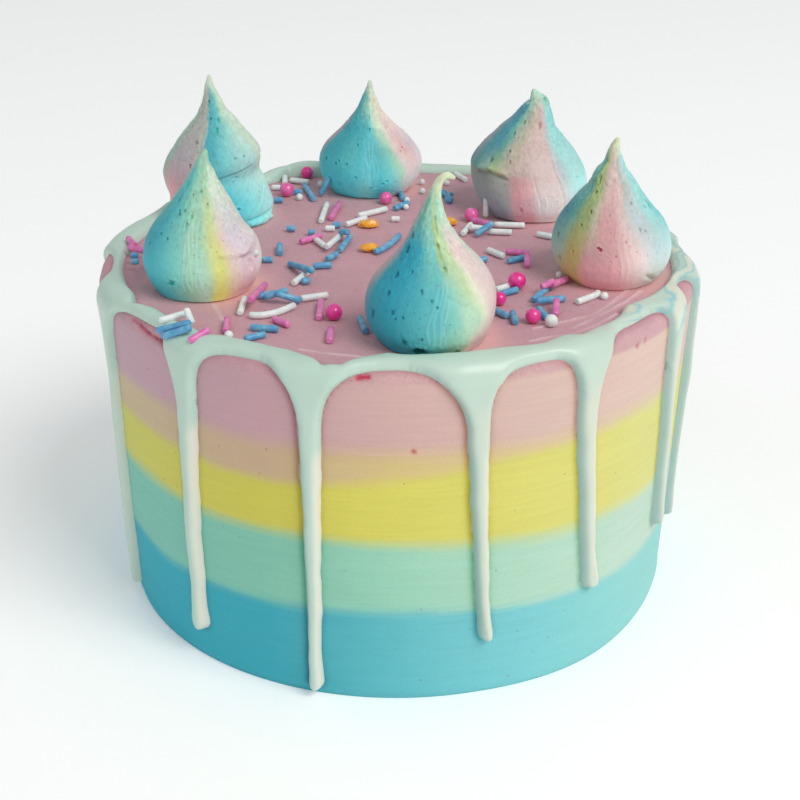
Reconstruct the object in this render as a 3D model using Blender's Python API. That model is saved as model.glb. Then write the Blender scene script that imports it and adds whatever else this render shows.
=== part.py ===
"""Tall round party cake: a buttercream coat, a poured drip rim and six meringue kisses on top.

The cake stands on z = 0 with its axis on the origin. Lengths are in millimetres until a mesh is
made, which is in metres. An azimuth is in degrees round the axis: 0 faces the front (-Y) and it
grows towards the right (+X). A place on the coat is an azimuth and a reach, which is how far it
lies from the flat top's border: below zero in over the top, then round the shoulder and down.
"""
import math
from typing import NamedTuple

import bmesh
import bpy
from mathutils import Vector

METRES_PER_MM = 0.001
TOUCHING_GAP = 0.3

# The cake body leans outwards a little from its base to its top.
BASE_RADIUS = 89.0
TOP_RADIUS = 92.6
CAKE_HEIGHT = 107.5
SHOULDER_IN = 3.6
SHOULDER_DROP = 4.2
SHOULDER_LENGTH = math.pi / 2 * (SHOULDER_IN + SHOULDER_DROP) / 2
SHOULDER_STEPS = 3
SIDE_ROWS = 3
CAKE_SEGMENTS = 64

# Where the spread coat is fuller or thinner: azimuth, amount, half-width in degrees.
TOP_BULGES = ((-75, 0.9, 24), (76, 0.9, 22), (-111, -1.6, 18), (101, -0.7, 14))
BASE_BULGES = ((38, 1.1, 26), (-140, -0.6, 30), (150, 0.5, 25))

# The drip icing: how far its inner edge lies in from the flat top's border, and its thickness.
RIM_REACH = 4.0
# Waves in the inner edge: how many there are round the cake, their size, where they start.
RIM_WAVES = ((5, 0.55, 20), (9, 0.35, 110), (16, 0.2, 60))
# V-shaped notches where two flows meet on the rim: azimuth, depth, half-width in degrees.
RIM_NOTCHES = (
    (-12.5, 5.0, 8),
    (-59, 3.4, 6),
    (36, 2.2, 5),
    (129, 3.0, 7),
    (206, 3.6, 6),
    (-121, 2.6, 14),
)
NOTCH_POWER = 1.5
RIM_THICKNESS = 1.9
DRIP_THICKNESS = 2.6
EDGE_THICKNESS = 0.5
EDGE_ROUNDING = 2.4
COAT_CLEARANCE = 0.55
# Steps between the rows of points near the inner edge and near the lip, and the least step.
INNER_STEP = 1.0
LIP_STEP = 1.3
LEAST_STEP = 0.12


class Drip(NamedTuple):
    """One run of icing: azimuth at its root and at its end, height of its end, and width."""
    root: float
    end: float
    end_height: float
    width: float


DRIPS = (
    Drip(-67.5, -71.5, 2.4, 6.6),
    Drip(-39.6, -41.0, 10.8, 6.7),
    Drip(-14.8, -15.4, 2.0, 5.2),
    Drip(14.2, 16.8, 19.1, 5.6),
    Drip(35.3, 39.0, 27.6, 6.3),
    Drip(61.8, 63.5, 31.7, 6.4),
    Drip(79.0, 81.0, 20.0, 6.4),
    Drip(104.0, 103.0, 34.0, 6.0),
    Drip(128.5, 129.5, 12.0, 6.4),
    Drip(153.0, 151.5, 45.0, 6.0),
    Drip(178.0, 179.0, 26.0, 6.6),
    Drip(204.5, 205.0, 8.0, 6.0),
    Drip(231.0, 229.5, 38.0, 6.2),
    Drip(263.0, 262.0, 22.0, 6.2),
)
DRIP_ACROSS = (-1.0, -0.6, 0.0, 0.6, 1.0)
DRIP_ROWS = 5
DRIP_TAPER = 0.15
DRIP_END_RADIUS = 3.0
DRIP_END_WIDTH = 0.3
DRIP_ROUNDING_ROW = 0.35


class Arch(NamedTuple):
    """The bare coat after a drip: azimuth of its crown, and the crown's reach."""
    crown: float
    reach: float


ARCHES = (
    Arch(-51.0, 7.6),
    Arch(-25.5, 1.0),
    Arch(-0.7, 0.8),
    Arch(25.5, 2.6),
    Arch(50.0, -0.6),
    Arch(72.0, -0.4),
    Arch(91.5, 2.0),
    Arch(116.0, 3.5),
    Arch(141.0, 1.0),
    Arch(166.0, 4.2),
    Arch(191.0, 2.0),
    Arch(218.0, 0.6),
    Arch(247.0, 3.0),
    Arch(277.5, -0.5),
)
ARCH_POWER = 2.5
FUNNEL_REACH = 22.0
ARCH_FRACTIONS = (0.10, 0.22, 0.38, 0.62, 0.78, 0.90)

# How finely the icing's outline is walked to find the nearest edge, and how far round to look.
OUTLINE_STEPS = 40
OUTLINE_START = -100
SEARCH_TURN = 6.0


class Kiss(NamedTuple):
    """A meringue kiss: its place, belly, height, fullness of its flank, straightness of its neck,
    lean of its tip, and the height of a crease round it, or zero."""
    x: float
    y: float
    belly_radius: float
    belly_height: float
    height: float
    fullness: float
    straightness: float
    lean_x: float
    lean_y: float
    fold_height: float = 0.0


KISSES = (
    Kiss(9.7, -67.6, 18.0, 9.0, 46.6, 1.00, 0.12, 2.6, -0.5),
    Kiss(-57.8, -28.8, 17.6, 9.0, 42.0, 1.00, 0.25, 2.4, 0.0),
    Kiss(-60.3, 36.6, 17.2, 6.0, 47.5, 1.40, 0.10, -0.9, 0.0, 15.0),
    Kiss(-9.4, 67.2, 18.0, 8.5, 38.1, 1.00, 0.10, 0.0, 0.3),
    Kiss(45.1, 43.0, 19.4, 10.0, 41.4, 1.20, 0.14, 0.6, 0.4),
    Kiss(65.2, -19.6, 18.0, 9.0, 42.6, 1.00, 0.22, -0.5, 0.0),
)
KISS_FOOT = 0.79
KISS_LOW_ROW = 0.35
KISS_LEAN_POWER = 3
KISS_TIP_RADIUS = 0.45
KISS_TIP_SPREAD = 1.6
KISS_FOLD_DEPTH = 0.9
KISS_FOLD_WIDTH = 1.6
KISS_FOLD_SLANT = 4.0
KISS_SEGMENTS = 18
KISS_ROWS = 11


def start_empty():
    for thing in list(bpy.data.objects):
        bpy.data.objects.remove(thing, do_unlink=True)


def finish_material(name, colour, roughness):
    material = bpy.data.materials.new(name)
    material.use_nodes = True
    shader = material.node_tree.nodes["Principled BSDF"]
    shader.inputs["Base Color"].default_value = (*colour, 1.0)
    shader.inputs["Roughness"].default_value = roughness
    shader.inputs["Metallic"].default_value = 0.0
    return material


def solid_from(name, points, faces, material):
    mesh = bpy.data.meshes.new(name)
    mesh.from_pydata([tuple(point * METRES_PER_MM) for point in points], [], faces)
    shape = bmesh.new()
    shape.from_mesh(mesh)
    bmesh.ops.recalc_face_normals(shape, faces=shape.faces)
    bmesh.ops.triangulate(shape, faces=shape.faces)
    shape.to_mesh(mesh)
    shape.free()
    mesh.shade_smooth()
    mesh.materials.append(material)
    solid = bpy.data.objects.new(name, mesh)
    bpy.context.scene.collection.objects.link(solid)
    return solid


def outward(azimuth):
    turn = math.radians(azimuth)
    return Vector((math.sin(turn), -math.cos(turn), 0.0))


def turn_between(azimuth, other):
    return (azimuth - other + 180.0) % 360.0 - 180.0


def bulge(azimuth, bulges):
    total = 0.0
    for centre, amount, half_width in bulges:
        share = abs(turn_between(azimuth, centre)) / half_width
        if share < 1.0:
            total += amount * (1.0 + math.cos(math.pi * share)) / 2
    return total


def side_radius(azimuth, height):
    share = height / CAKE_HEIGHT
    base = BASE_RADIUS + bulge(azimuth, BASE_BULGES)
    top = TOP_RADIUS + bulge(azimuth, TOP_BULGES)
    return base + (top - base) * share


def flat_top_radius(azimuth):
    return side_radius(azimuth, CAKE_HEIGHT - SHOULDER_DROP) - SHOULDER_IN


def coat_point(azimuth, reach, lift=0.0):
    """A point on the coat, lifted off it along its normal."""
    if reach <= 0.0:
        steepness = 0.0
        radius = flat_top_radius(azimuth) + reach
        height = CAKE_HEIGHT
    elif reach < SHOULDER_LENGTH:
        steepness = math.pi / 2 * reach / SHOULDER_LENGTH
        radius = flat_top_radius(azimuth) + SHOULDER_IN * math.sin(steepness)
        height = CAKE_HEIGHT - SHOULDER_DROP * (1.0 - math.cos(steepness))
    else:
        steepness = math.pi / 2
        height = CAKE_HEIGHT - SHOULDER_DROP - (reach - SHOULDER_LENGTH)
        radius = side_radius(azimuth, height)
    radius += lift * math.sin(steepness)
    height += lift * math.cos(steepness)
    return outward(azimuth) * radius + Vector((0.0, 0.0, height))


def reach_at_height(height):
    return SHOULDER_LENGTH + CAKE_HEIGHT - SHOULDER_DROP - height


def shoulder_reaches():
    return [SHOULDER_LENGTH * step / SHOULDER_STEPS for step in range(SHOULDER_STEPS + 1)]


def make_cake():
    heights = [CAKE_HEIGHT * row / SIDE_ROWS for row in reversed(range(SIDE_ROWS))]
    reaches = shoulder_reaches() + [reach_at_height(height) for height in heights]
    points = []
    for reach in reaches:
        for segment in range(CAKE_SEGMENTS):
            points.append(coat_point(360.0 * segment / CAKE_SEGMENTS, reach))
    faces = []
    for row in range(len(reaches) - 1):
        for segment in range(CAKE_SEGMENTS):
            after = (segment + 1) % CAKE_SEGMENTS
            here = row * CAKE_SEGMENTS
            below = here + CAKE_SEGMENTS
            faces.append((here + segment, below + segment, below + after, here + after))
    last = (len(reaches) - 1) * CAKE_SEGMENTS
    faces.append(tuple(range(CAKE_SEGMENTS)))
    faces.append(tuple(last + segment for segment in range(CAKE_SEGMENTS)))
    buttercream = finish_material("buttercream", (0.62, 0.60, 0.45), 0.7)
    return solid_from("cake", points, faces, buttercream)


def inner_reach(azimuth):
    reach = -RIM_REACH
    for waves, amount, start in RIM_WAVES:
        reach += amount * math.sin(math.radians(waves * azimuth + start))
    for centre, depth, half_width in RIM_NOTCHES:
        share = abs(turn_between(azimuth, centre)) / half_width
        if share < 1.0:
            reach += depth * (1.0 - share) ** NOTCH_POWER
    return reach


def drip_azimuth(drip, reach, across):
    """Azimuth of a drip's own line: across runs from -1 at its left edge to 1 at its right edge."""
    last = reach_at_height(drip.end_height)
    share = max(0.0, (reach - FUNNEL_REACH) / (last - FUNNEL_REACH))
    half = drip.width / 2 * (1.0 - DRIP_TAPER * share)
    left_over = (last - reach) / DRIP_END_RADIUS
    if left_over < 1.0:
        rounding = math.sqrt(max(0.0, 1.0 - (1.0 - left_over) ** 2))
        half *= DRIP_END_WIDTH + (1.0 - DRIP_END_WIDTH) * rounding
    return drip.root + (drip.end - drip.root) * share + across * math.degrees(half / TOP_RADIUS)


def arch_span(number):
    """The azimuths of the two drip edges that bound an arch, the second one always the larger."""
    following = DRIPS[(number + 1) % len(DRIPS)]
    turn = 360.0 if number == len(DRIPS) - 1 else 0.0
    left = drip_azimuth(DRIPS[number], FUNNEL_REACH, 1.0)
    right = drip_azimuth(following, FUNNEL_REACH, -1.0) + turn
    return left, right


def arch_reach(azimuth, left, right, arch):
    """How far out and down the icing reaches in the arch between two drips' edges."""
    edge = left if azimuth < arch.crown else right
    share = min(1.0, (azimuth - arch.crown) / (edge - arch.crown))
    rise = (1.0 - share ** ARCH_POWER) ** (1.0 / ARCH_POWER)
    return FUNNEL_REACH - (FUNNEL_REACH - arch.reach) * rise


class Column(NamedTuple):
    """A line of points out over the rim: the drip that it runs down or None, its place across
    that drip or its azimuth, and the reach of the rim's lip on it."""
    drip: int
    place: float
    lip: float


def icing_columns():
    columns = []
    for number in range(len(DRIPS)):
        for across in DRIP_ACROSS:
            columns.append(Column(number, across, FUNNEL_REACH))
        left, right = arch_span(number)
        for fraction in ARCH_FRACTIONS:
            azimuth = left + (right - left) * fraction
            columns.append(Column(None, azimuth, arch_reach(azimuth, left, right, ARCHES[number])))
    return columns


def column_azimuth(column, reach):
    if column.drip is None:
        return column.place
    return drip_azimuth(DRIPS[column.drip], reach, column.place)


def rim_rows(column):
    """Reach of each row from the inner edge to the lip, kept in order where they crowd."""
    inner = inner_reach(column_azimuth(column, 0.0))
    wanted = [inner, inner + INNER_STEP, -INNER_STEP]
    wanted += shoulder_reaches()
    wanted += [column.lip - LIP_STEP, column.lip]
    last = len(wanted) - 1
    rows = []
    for place, reach in enumerate(wanted):
        lowest = rows[-1] + LEAST_STEP if rows else inner
        highest = column.lip - (last - place) * LEAST_STEP
        rows.append(max(lowest, min(reach, highest)))
    return rows


def drip_rows(drip):
    last = reach_at_height(drip.end_height)
    straight = last - DRIP_END_RADIUS
    rows = []
    for row in range(1, DRIP_ROWS - 1):
        rows.append(FUNNEL_REACH + (straight - FUNNEL_REACH) * row / (DRIP_ROWS - 2))
    return rows + [last - DRIP_ROUNDING_ROW * DRIP_END_RADIUS, last]


def icing_outline():
    """Places all along the icing's edges, each an azimuth and a reach."""
    outline = []
    for azimuth in range(OUTLINE_START, OUTLINE_START + 360):
        outline.append((azimuth, inner_reach(azimuth)))
    for number, drip in enumerate(DRIPS):
        last = reach_at_height(drip.end_height)
        left, right = arch_span(number)
        for step in range(OUTLINE_STEPS + 1):
            share = step / OUTLINE_STEPS
            reach = FUNNEL_REACH + (last - FUNNEL_REACH) * share
            outline.append((drip_azimuth(drip, reach, -1.0), reach))
            outline.append((drip_azimuth(drip, reach, 1.0), reach))
            azimuth = left + (right - left) * share
            outline.append((azimuth, arch_reach(azimuth, left, right, ARCHES[number])))
    return outline


def icing_thickness(azimuth, reach, outline):
    near = EDGE_ROUNDING
    for edge_azimuth, edge_reach in outline:
        turn = turn_between(azimuth, edge_azimuth)
        if abs(turn) < SEARCH_TURN:
            near = min(near, math.hypot(math.radians(turn) * TOP_RADIUS, reach - edge_reach))
    full = RIM_THICKNESS
    if reach > SHOULDER_LENGTH:
        down = min(1.0, (reach - SHOULDER_LENGTH) / FUNNEL_REACH)
        full += (DRIP_THICKNESS - RIM_THICKNESS) * down
    share = near / EDGE_ROUNDING
    return EDGE_THICKNESS + (full - EDGE_THICKNESS) * math.sqrt(1.0 - (1.0 - share) ** 2)


def make_drip_icing():
    outline = icing_outline()
    columns = icing_columns()
    points = []
    outer = []
    inner = []
    for column in columns:
        reaches = rim_rows(column)
        if column.drip is not None:
            reaches = reaches + drip_rows(DRIPS[column.drip])
        outer_line = []
        inner_line = []
        for reach in reaches:
            azimuth = column_azimuth(column, reach)
            lift = COAT_CLEARANCE + icing_thickness(azimuth, reach, outline)
            outer_line.append(len(points))
            points.append(coat_point(azimuth, reach, lift))
            inner_line.append(len(points))
            points.append(coat_point(azimuth, reach, COAT_CLEARANCE))
        outer.append(outer_line)
        inner.append(inner_line)
    rim_last = len(rim_rows(columns[0])) - 1
    faces = []
    for place, column in enumerate(columns):
        after = (place + 1) % len(columns)
        top, top_after = outer[place], outer[after]
        under, under_after = inner[place], inner[after]
        same_drip = column.drip is not None and column.drip == columns[after].drip
        last = len(top) - 1 if same_drip else rim_last
        for row in range(last):
            faces.append((top[row], top[row + 1], top_after[row + 1], top_after[row]))
            faces.append((under[row], under_after[row], under_after[row + 1], under[row + 1]))
        faces.append((top[0], top_after[0], under_after[0], under[0]))
        faces.append((top[last], under[last], under_after[last], top_after[last]))
        if column.drip is not None and abs(column.place) == 1.0:
            for row in range(rim_last, len(top) - 1):
                faces.append((top[row], top[row + 1], under[row + 1], under[row]))
    icing = finish_material("drip_icing", (0.56, 0.71, 0.62), 0.35)
    return solid_from("drip_icing", points, faces, icing)


def kiss_radius(kiss, height, turn):
    if height < kiss.belly_height:
        share = 1.0 - height / kiss.belly_height
        rounding = math.sqrt(1.0 - share * share)
        radius = kiss.belly_radius * (KISS_FOOT + (1.0 - KISS_FOOT) * rounding)
    else:
        share = (height - kiss.belly_height) / (kiss.height - kiss.belly_height)
        round_part = math.cos(math.pi / 2 * share ** kiss.fullness) ** 2
        straight_part = 1.0 - share
        mix = kiss.straightness
        radius = kiss.belly_radius * ((1.0 - mix) * round_part + mix * straight_part)
        spread = KISS_TIP_SPREAD * math.sqrt(1.0 - share) * (1.0 - share)
        radius = max(radius, KISS_TIP_RADIUS + spread)
    if kiss.fold_height:
        crease = kiss.fold_height + KISS_FOLD_SLANT * math.sin(turn)
        radius -= KISS_FOLD_DEPTH * math.exp(-(((height - crease) / KISS_FOLD_WIDTH) ** 2))
    return max(radius, KISS_TIP_RADIUS)


def make_kiss(number, kiss):
    foot = Vector((kiss.x, kiss.y, CAKE_HEIGHT + TOUCHING_GAP))
    neck = kiss.height - kiss.belly_height
    heights = [0.0, KISS_LOW_ROW * kiss.belly_height]
    for step in range(KISS_ROWS - 2):
        heights.append(kiss.belly_height + neck * step / (KISS_ROWS - 3))
    points = []
    for height in heights:
        lean = (height / kiss.height) ** KISS_LEAN_POWER
        centre = foot + Vector((kiss.lean_x * lean, kiss.lean_y * lean, height))
        for segment in range(KISS_SEGMENTS):
            turn = 2 * math.pi * segment / KISS_SEGMENTS
            radius = kiss_radius(kiss, height, turn)
            points.append(centre + Vector((math.cos(turn), math.sin(turn), 0.0)) * radius)
    faces = []
    for row in range(len(heights) - 1):
        for segment in range(KISS_SEGMENTS):
            after = (segment + 1) % KISS_SEGMENTS
            here = row * KISS_SEGMENTS
            above = here + KISS_SEGMENTS
            faces.append((here + segment, here + after, above + after, above + segment))
    last = (len(heights) - 1) * KISS_SEGMENTS
    faces.append(tuple(range(KISS_SEGMENTS)))
    faces.append(tuple(last + segment for segment in range(KISS_SEGMENTS)))
    meringue = finish_material("meringue_%d" % number, (0.45, 0.70, 0.68), 0.6)
    return solid_from("meringue_%d" % number, points, faces, meringue)


def main():
    start_empty()
    make_cake()
    make_drip_icing()
    for number, kiss in enumerate(KISSES, start=1):
        make_kiss(number, kiss)


main()
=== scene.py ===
"""The looks of a tall party cake with a drip rim, meringue kisses and sugar sprinkles.

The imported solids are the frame, and every visible piece is a finer mesh that stands for one of them
or lies on them. Lengths are in millimetres until a mesh is made. An azimuth is in degrees round the
cake's axis: 0 faces the front and 90 the right. A place on the coat is an azimuth and a reach, which
is how far it lies from the flat top's border: below zero in over the top, then round the shoulder
and down the side.
"""
import math
import random
from typing import NamedTuple

import bmesh
import bpy
import numpy as np
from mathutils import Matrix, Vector, noise
from mathutils.kdtree import KDTree


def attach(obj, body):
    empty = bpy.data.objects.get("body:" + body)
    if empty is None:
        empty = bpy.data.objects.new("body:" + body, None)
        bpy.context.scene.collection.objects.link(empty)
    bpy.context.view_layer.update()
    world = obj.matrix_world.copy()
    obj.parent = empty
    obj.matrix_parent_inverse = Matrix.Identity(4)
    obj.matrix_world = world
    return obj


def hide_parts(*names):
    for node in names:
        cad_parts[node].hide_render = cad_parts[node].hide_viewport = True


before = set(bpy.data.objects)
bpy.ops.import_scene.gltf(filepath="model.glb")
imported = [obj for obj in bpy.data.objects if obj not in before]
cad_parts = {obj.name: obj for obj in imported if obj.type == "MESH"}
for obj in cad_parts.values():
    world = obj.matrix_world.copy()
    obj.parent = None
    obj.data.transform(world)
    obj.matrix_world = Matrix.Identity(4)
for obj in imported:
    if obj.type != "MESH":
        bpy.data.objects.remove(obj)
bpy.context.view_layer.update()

MM = 0.001

# The view that the photograph was taken from, and how far down it looks.
VIEW_PLACE = (0.0011, -0.4659, 0.2787)
VIEW_TILT = math.radians(64.40)
LENS = 70.0
SENSOR = 36.0
PICTURE = 800
FOCAL_PIXELS = LENS / SENSOR * PICTURE
LOOK_DOWN = math.pi / 2 - VIEW_TILT

# The coat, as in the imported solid. A bulge is an azimuth, how far out it stands and half its width.
BASE_RADIUS = 89.0
TOP_RADIUS = 92.6
CAKE_HEIGHT = 107.5
SHOULDER_IN = 3.6
SHOULDER_DROP = 4.2
SHOULDER_LENGTH = math.pi / 2 * (SHOULDER_IN + SHOULDER_DROP) / 2
TOP_BULGES = ((-75, 0.9, 24), (76, 0.9, 22), (-111, -1.6, 18), (101, -0.7, 14))
BASE_BULGES = ((38, 1.1, 26), (-140, -0.6, 30), (150, 0.5, 25))

COAT_COLUMNS = 960
COAT_SIDE_ROWS = 90
COAT_SHOULDER_ROWS = 12
COAT_TOP_ROWS = 84
# How much the top's rows crowd towards its border.
COAT_TOP_CROWDING = 0.55

# The drip icing. A wave is how often it repeats, how high it is and where it starts. A notch is an
# azimuth, how far out it comes and half its width.
RIM_REACH = 4.0
RIM_WAVES = ((5, 0.55, 20), (9, 0.35, 110), (16, 0.2, 60))
RIM_NOTCHES = ((-12.5, 5.0, 8), (-59, 3.4, 6), (36, 2.2, 5), (129, 3.0, 7), (206, 3.6, 6), (-121, 2.6, 14),
               (4.5, -1.5, 11), (-37.3, 1.8, 4), (-9.5, 2.4, 4.5), (-1.5, -3.0, 5), (19, -1.3, 9),
               (33.5, -2.0, 6.5), (53.5, -2.6, 8))
RIM_THICKNESS = 2.2
DRIP_THICKNESS = 2.7
BULB_THICKNESS = 3.2
EDGE_ROUNDING = 3.2
ICING_SUNK = 0.6
FUNNEL_REACH = 22.0
# How fast a drip narrows to its neck, and where its bulb's middle and rounding lie, in bulb widths.
NARROWING = 1.7
BULB_MIDDLE = 0.6
BULB_ROUNDING = 0.58
BULB_LENGTH = 4.5
# How far below its root a drip's edges start to be uneven.
RAGGED_START = 8.0
ICING_STEP = 0.45
ICING_START = -8.1
# Half the turn in degrees that a drip takes up at most.
DRIP_TURN = 3.0
# Over how many millimetres below its root a drip turns from a flat sheet to a round bead.
BEAD_START = 10.0
# How often the icing's depth is evened out with its neighbours, and its steepest fall that is marked.
SMOOTHINGS = 6
STEEPEST = 1.5
# The steps in which the icing's edges are laid down to be found: along the rim, down a drip, in an arch.
RIM_EDGE_STEP = 0.05
DRIP_EDGE_STEP = 0.08
ARCH_EDGE_POINTS = 900


class Drip(NamedTuple):
    """A drip: its azimuths at its root, middle and end, how high it ends, and its widths."""
    root: float
    middle: float
    end: float
    end_height: float
    top_width: float
    neck_width: float
    bulb_width: float

    def last(self):
        return reach_at_height(self.end_height)

    def share(self, reach):
        """0 at the drip's root and 1 at its end."""
        return clipped((reach - FUNNEL_REACH) / (self.last() - FUNNEL_REACH))


DRIPS = (
    Drip(-67.5, -69.5, -71.5, 2.4, 7.4, 5.4, 6.0),
    Drip(-39.6, -41.0, -41.1, 10.8, 7.4, 5.6, 6.7),
    Drip(-14.8, -15.1, -15.4, 2.0, 6.8, 4.1, 4.8),
    Drip(14.2, 15.2, 16.8, 19.1, 6.6, 4.2, 4.4),
    Drip(35.3, 36.9, 39.0, 27.6, 7.2, 5.7, 6.1),
    Drip(61.8, 62.7, 63.5, 31.7, 6.8, 5.6, 6.2),
    Drip(79.0, 80.0, 81.0, 20.0, 6.8, 5.4, 6.0),
    Drip(104.0, 103.3, 103.0, 34.0, 6.6, 5.0, 5.8),
    Drip(128.5, 128.9, 129.5, 12.0, 7.0, 5.2, 6.0),
    Drip(153.0, 152.4, 151.5, 45.0, 6.6, 5.4, 6.0),
    Drip(178.0, 178.6, 179.0, 26.0, 7.2, 5.6, 6.4),
    Drip(204.5, 204.6, 205.0, 8.0, 6.8, 4.8, 5.6),
    Drip(231.0, 230.4, 229.5, 38.0, 6.8, 5.2, 6.0),
    Drip(263.0, 262.6, 262.0, 22.0, 6.8, 5.4, 6.0),
)


class Arch(NamedTuple):
    """The bare coat between two drips: its crown's azimuth and reach, and how square its two flanks are."""
    crown: float
    reach: float
    left: float = 2.5
    right: float = 2.5


ARCHES = (
    Arch(-46.0, 2.0, 4.1, 1.4),
    Arch(-25.0, 2.3, 3.5, 2.3),
    Arch(0.3, 1.2, 2.6, 2.0),
    Arch(26.5, 3.1, 3.5, 2.9),
    Arch(47.0, 0.2, 2.3, 5.3),
    Arch(71.5, -0.3, 2.0, 2.9),
    Arch(91.5, 2.0),
    Arch(116.0, 3.5),
    Arch(141.0, 1.0),
    Arch(166.0, 4.2),
    Arch(191.0, 2.0),
    Arch(218.0, 0.6),
    Arch(247.0, 3.0),
    Arch(277.5, -0.5),
)


def paint(red, green, blue):
    """A colour in display values from 0 to 255, as the linear numbers that a shader takes."""
    linear = []
    for value in (red, green, blue):
        share = value / 255
        linear.append(share / 12.92 if share <= 0.04045 else ((share + 0.055) / 1.055) ** 2.4)
    return (*linear, 1.0)


def operator(operation, reflected=False):
    """A method that adds the Math node of an operator, with the wire second where it is reflected."""
    def method(wire, other):
        return wire.maths(operation, *((other, wire) if reflected else (wire, other)))
    return method


# How many millimetres a colour ramp reaches either side of the middle, and upwards.
RAMP_REACH = 100.0


class Wire:
    """A node's socket with Python's arithmetic: each operator adds the Math node that does it."""

    def __init__(self, tree, socket=None):
        self.tree = tree
        self.socket = socket

    def node(self, kind, settings=None, sockets=None, output=0):
        """Adds a node, with its settings first and then the values or wires of its sockets."""
        made = self.tree.nodes.new(kind)
        for name, value in (settings or {}).items():
            if name == "stops":
                lay_stops(made.color_ramp, value)
            else:
                setattr(made, name, value)
        for name, value in (sockets or {}).items():
            if isinstance(value, Wire):
                self.tree.links.new(value.socket, made.inputs[name])
            else:
                made.inputs[name].default_value = value
        return Wire(self.tree, made.outputs[output])

    def maths(self, operation, *values):
        return self.node("ShaderNodeMath", {"operation": operation}, dict(enumerate(values)))

    __add__ = operator("ADD")
    __radd__ = operator("ADD", reflected=True)
    __sub__ = operator("SUBTRACT")
    __rsub__ = operator("SUBTRACT", reflected=True)
    __mul__ = operator("MULTIPLY")
    __truediv__ = operator("DIVIDE")

    def __abs__(self):
        return self.maths("ABSOLUTE", self)

    def rise(self, low, high):
        """0 below low and 1 above high, with a smooth step between."""
        sockets = {"Value": self, "From Min": low, "From Max": high}
        return self.node("ShaderNodeMapRange", {"interpolation_type": "SMOOTHSTEP"}, sockets)

    def mix(self, colour, other, blend="MIX"):
        """colour where this wire is 0, and where it is 1 other, blended with it in the way named."""
        settings = {"data_type": "RGBA", "blend_type": blend}
        return self.node("ShaderNodeMix", settings, {0: self, 6: colour, 7: other}, 2)

    def shade(self, colour):
        """colour made darker or lighter by this wire."""
        grey = self.node("ShaderNodeCombineColor", None, {0: self, 1: self, 2: self})
        settings = {"data_type": "RGBA", "blend_type": "MULTIPLY"}
        return self.node("ShaderNodeMix", settings, {0: 1.0, 6: colour, 7: grey}, 2)

    def through_colours(self, stops, colours):
        """The colour between those given at stops along this wire's x, in millimetres."""
        placed = [((x + RAMP_REACH) / (2 * RAMP_REACH), colour) for x, colour in zip(stops, colours)]
        share = (self + RAMP_REACH) / (2 * RAMP_REACH)
        return self.node("ShaderNodeValToRGB", {"stops": placed}, {0: share})

    def through_stops(self, stops):
        """A height read off (x, height) stops at this wire's x, both in millimetres."""
        greys = [(*[height / RAMP_REACH] * 3, 1.0) for _, height in stops]
        return self.through_colours([x for x, _ in stops], greys) * RAMP_REACH

    def cloud(self, place, scale, detail):
        """Soft noise round 0.5, stretched by a different scale along each axis, per metre."""
        stretched = self.node("ShaderNodeMapping", None, {"Vector": place, "Scale": scale})
        sockets = {"Vector": stretched, "Scale": 1.0, "Detail": detail, "Roughness": 0.5}
        return self.node("ShaderNodeTexNoise", None, sockets)

    def specks(self, place, scale, share, size):
        """1 in small round spots scattered over a share of the cells, 0 elsewhere."""
        sockets = {"Vector": place, "Scale": scale, "Randomness": 1.0}
        cell = self.node("ShaderNodeTexVoronoi", None, sockets)
        tone = self.node("ShaderNodeTexVoronoi", None, sockets, 1)
        chosen = self.node("ShaderNodeSeparateColor", None, {0: tone})
        spot = 1 - cell.rise(size * 0.5, size)
        return spot * chosen.rise(1 - share, 1.001 - share)

    def mark(self, name, output=2):
        """A value that the piece's mesh carries at each point, or at output 0 a colour."""
        return self.node("ShaderNodeAttribute", {"attribute_name": name}, None, output)


def lay_stops(ramp, stops):
    """Replaces a ramp's stops by (place, colour) pairs."""
    while len(ramp.elements) > 1:
        ramp.elements.remove(ramp.elements[-1])
    ramp.elements[0].position = stops[0][0]
    ramp.elements[0].color = stops[0][1]
    for place, colour in stops[1:]:
        ramp.elements.new(place).color = colour


def new_finish(name, **fixed):
    """A material, its Principled shader with the fixed values set, and a wire to start from."""
    material = bpy.data.materials.new(name)
    material.use_nodes = True
    shader = material.node_tree.nodes["Principled BSDF"]
    for socket, value in fixed.items():
        shader.inputs[socket.replace("_", " ").title()].default_value = value
    return material, shader, Wire(material.node_tree)


def plug(shader, socket, wire):
    wire.tree.links.new(wire.socket, shader.inputs[socket])


def object_place(start):
    return start.node("ShaderNodeTexCoord", None, None, 3)


def along(place, axis):
    """How far a place lies along an axis, in millimetres."""
    return place.node("ShaderNodeSeparateXYZ", None, {0: place}, axis) / MM


def relief(shader, height, depth):
    """Bump whose height wire runs from 0 to 1 over that depth in metres."""
    sockets = {"Height": height, "Distance": depth, "Strength": 1.0}
    plug(shader, "Normal", height.node("ShaderNodeBump", None, sockets))


def add_piece(name, mesh):
    piece = bpy.data.objects.new(name, mesh)
    bpy.context.scene.collection.objects.link(piece)
    return piece


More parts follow.
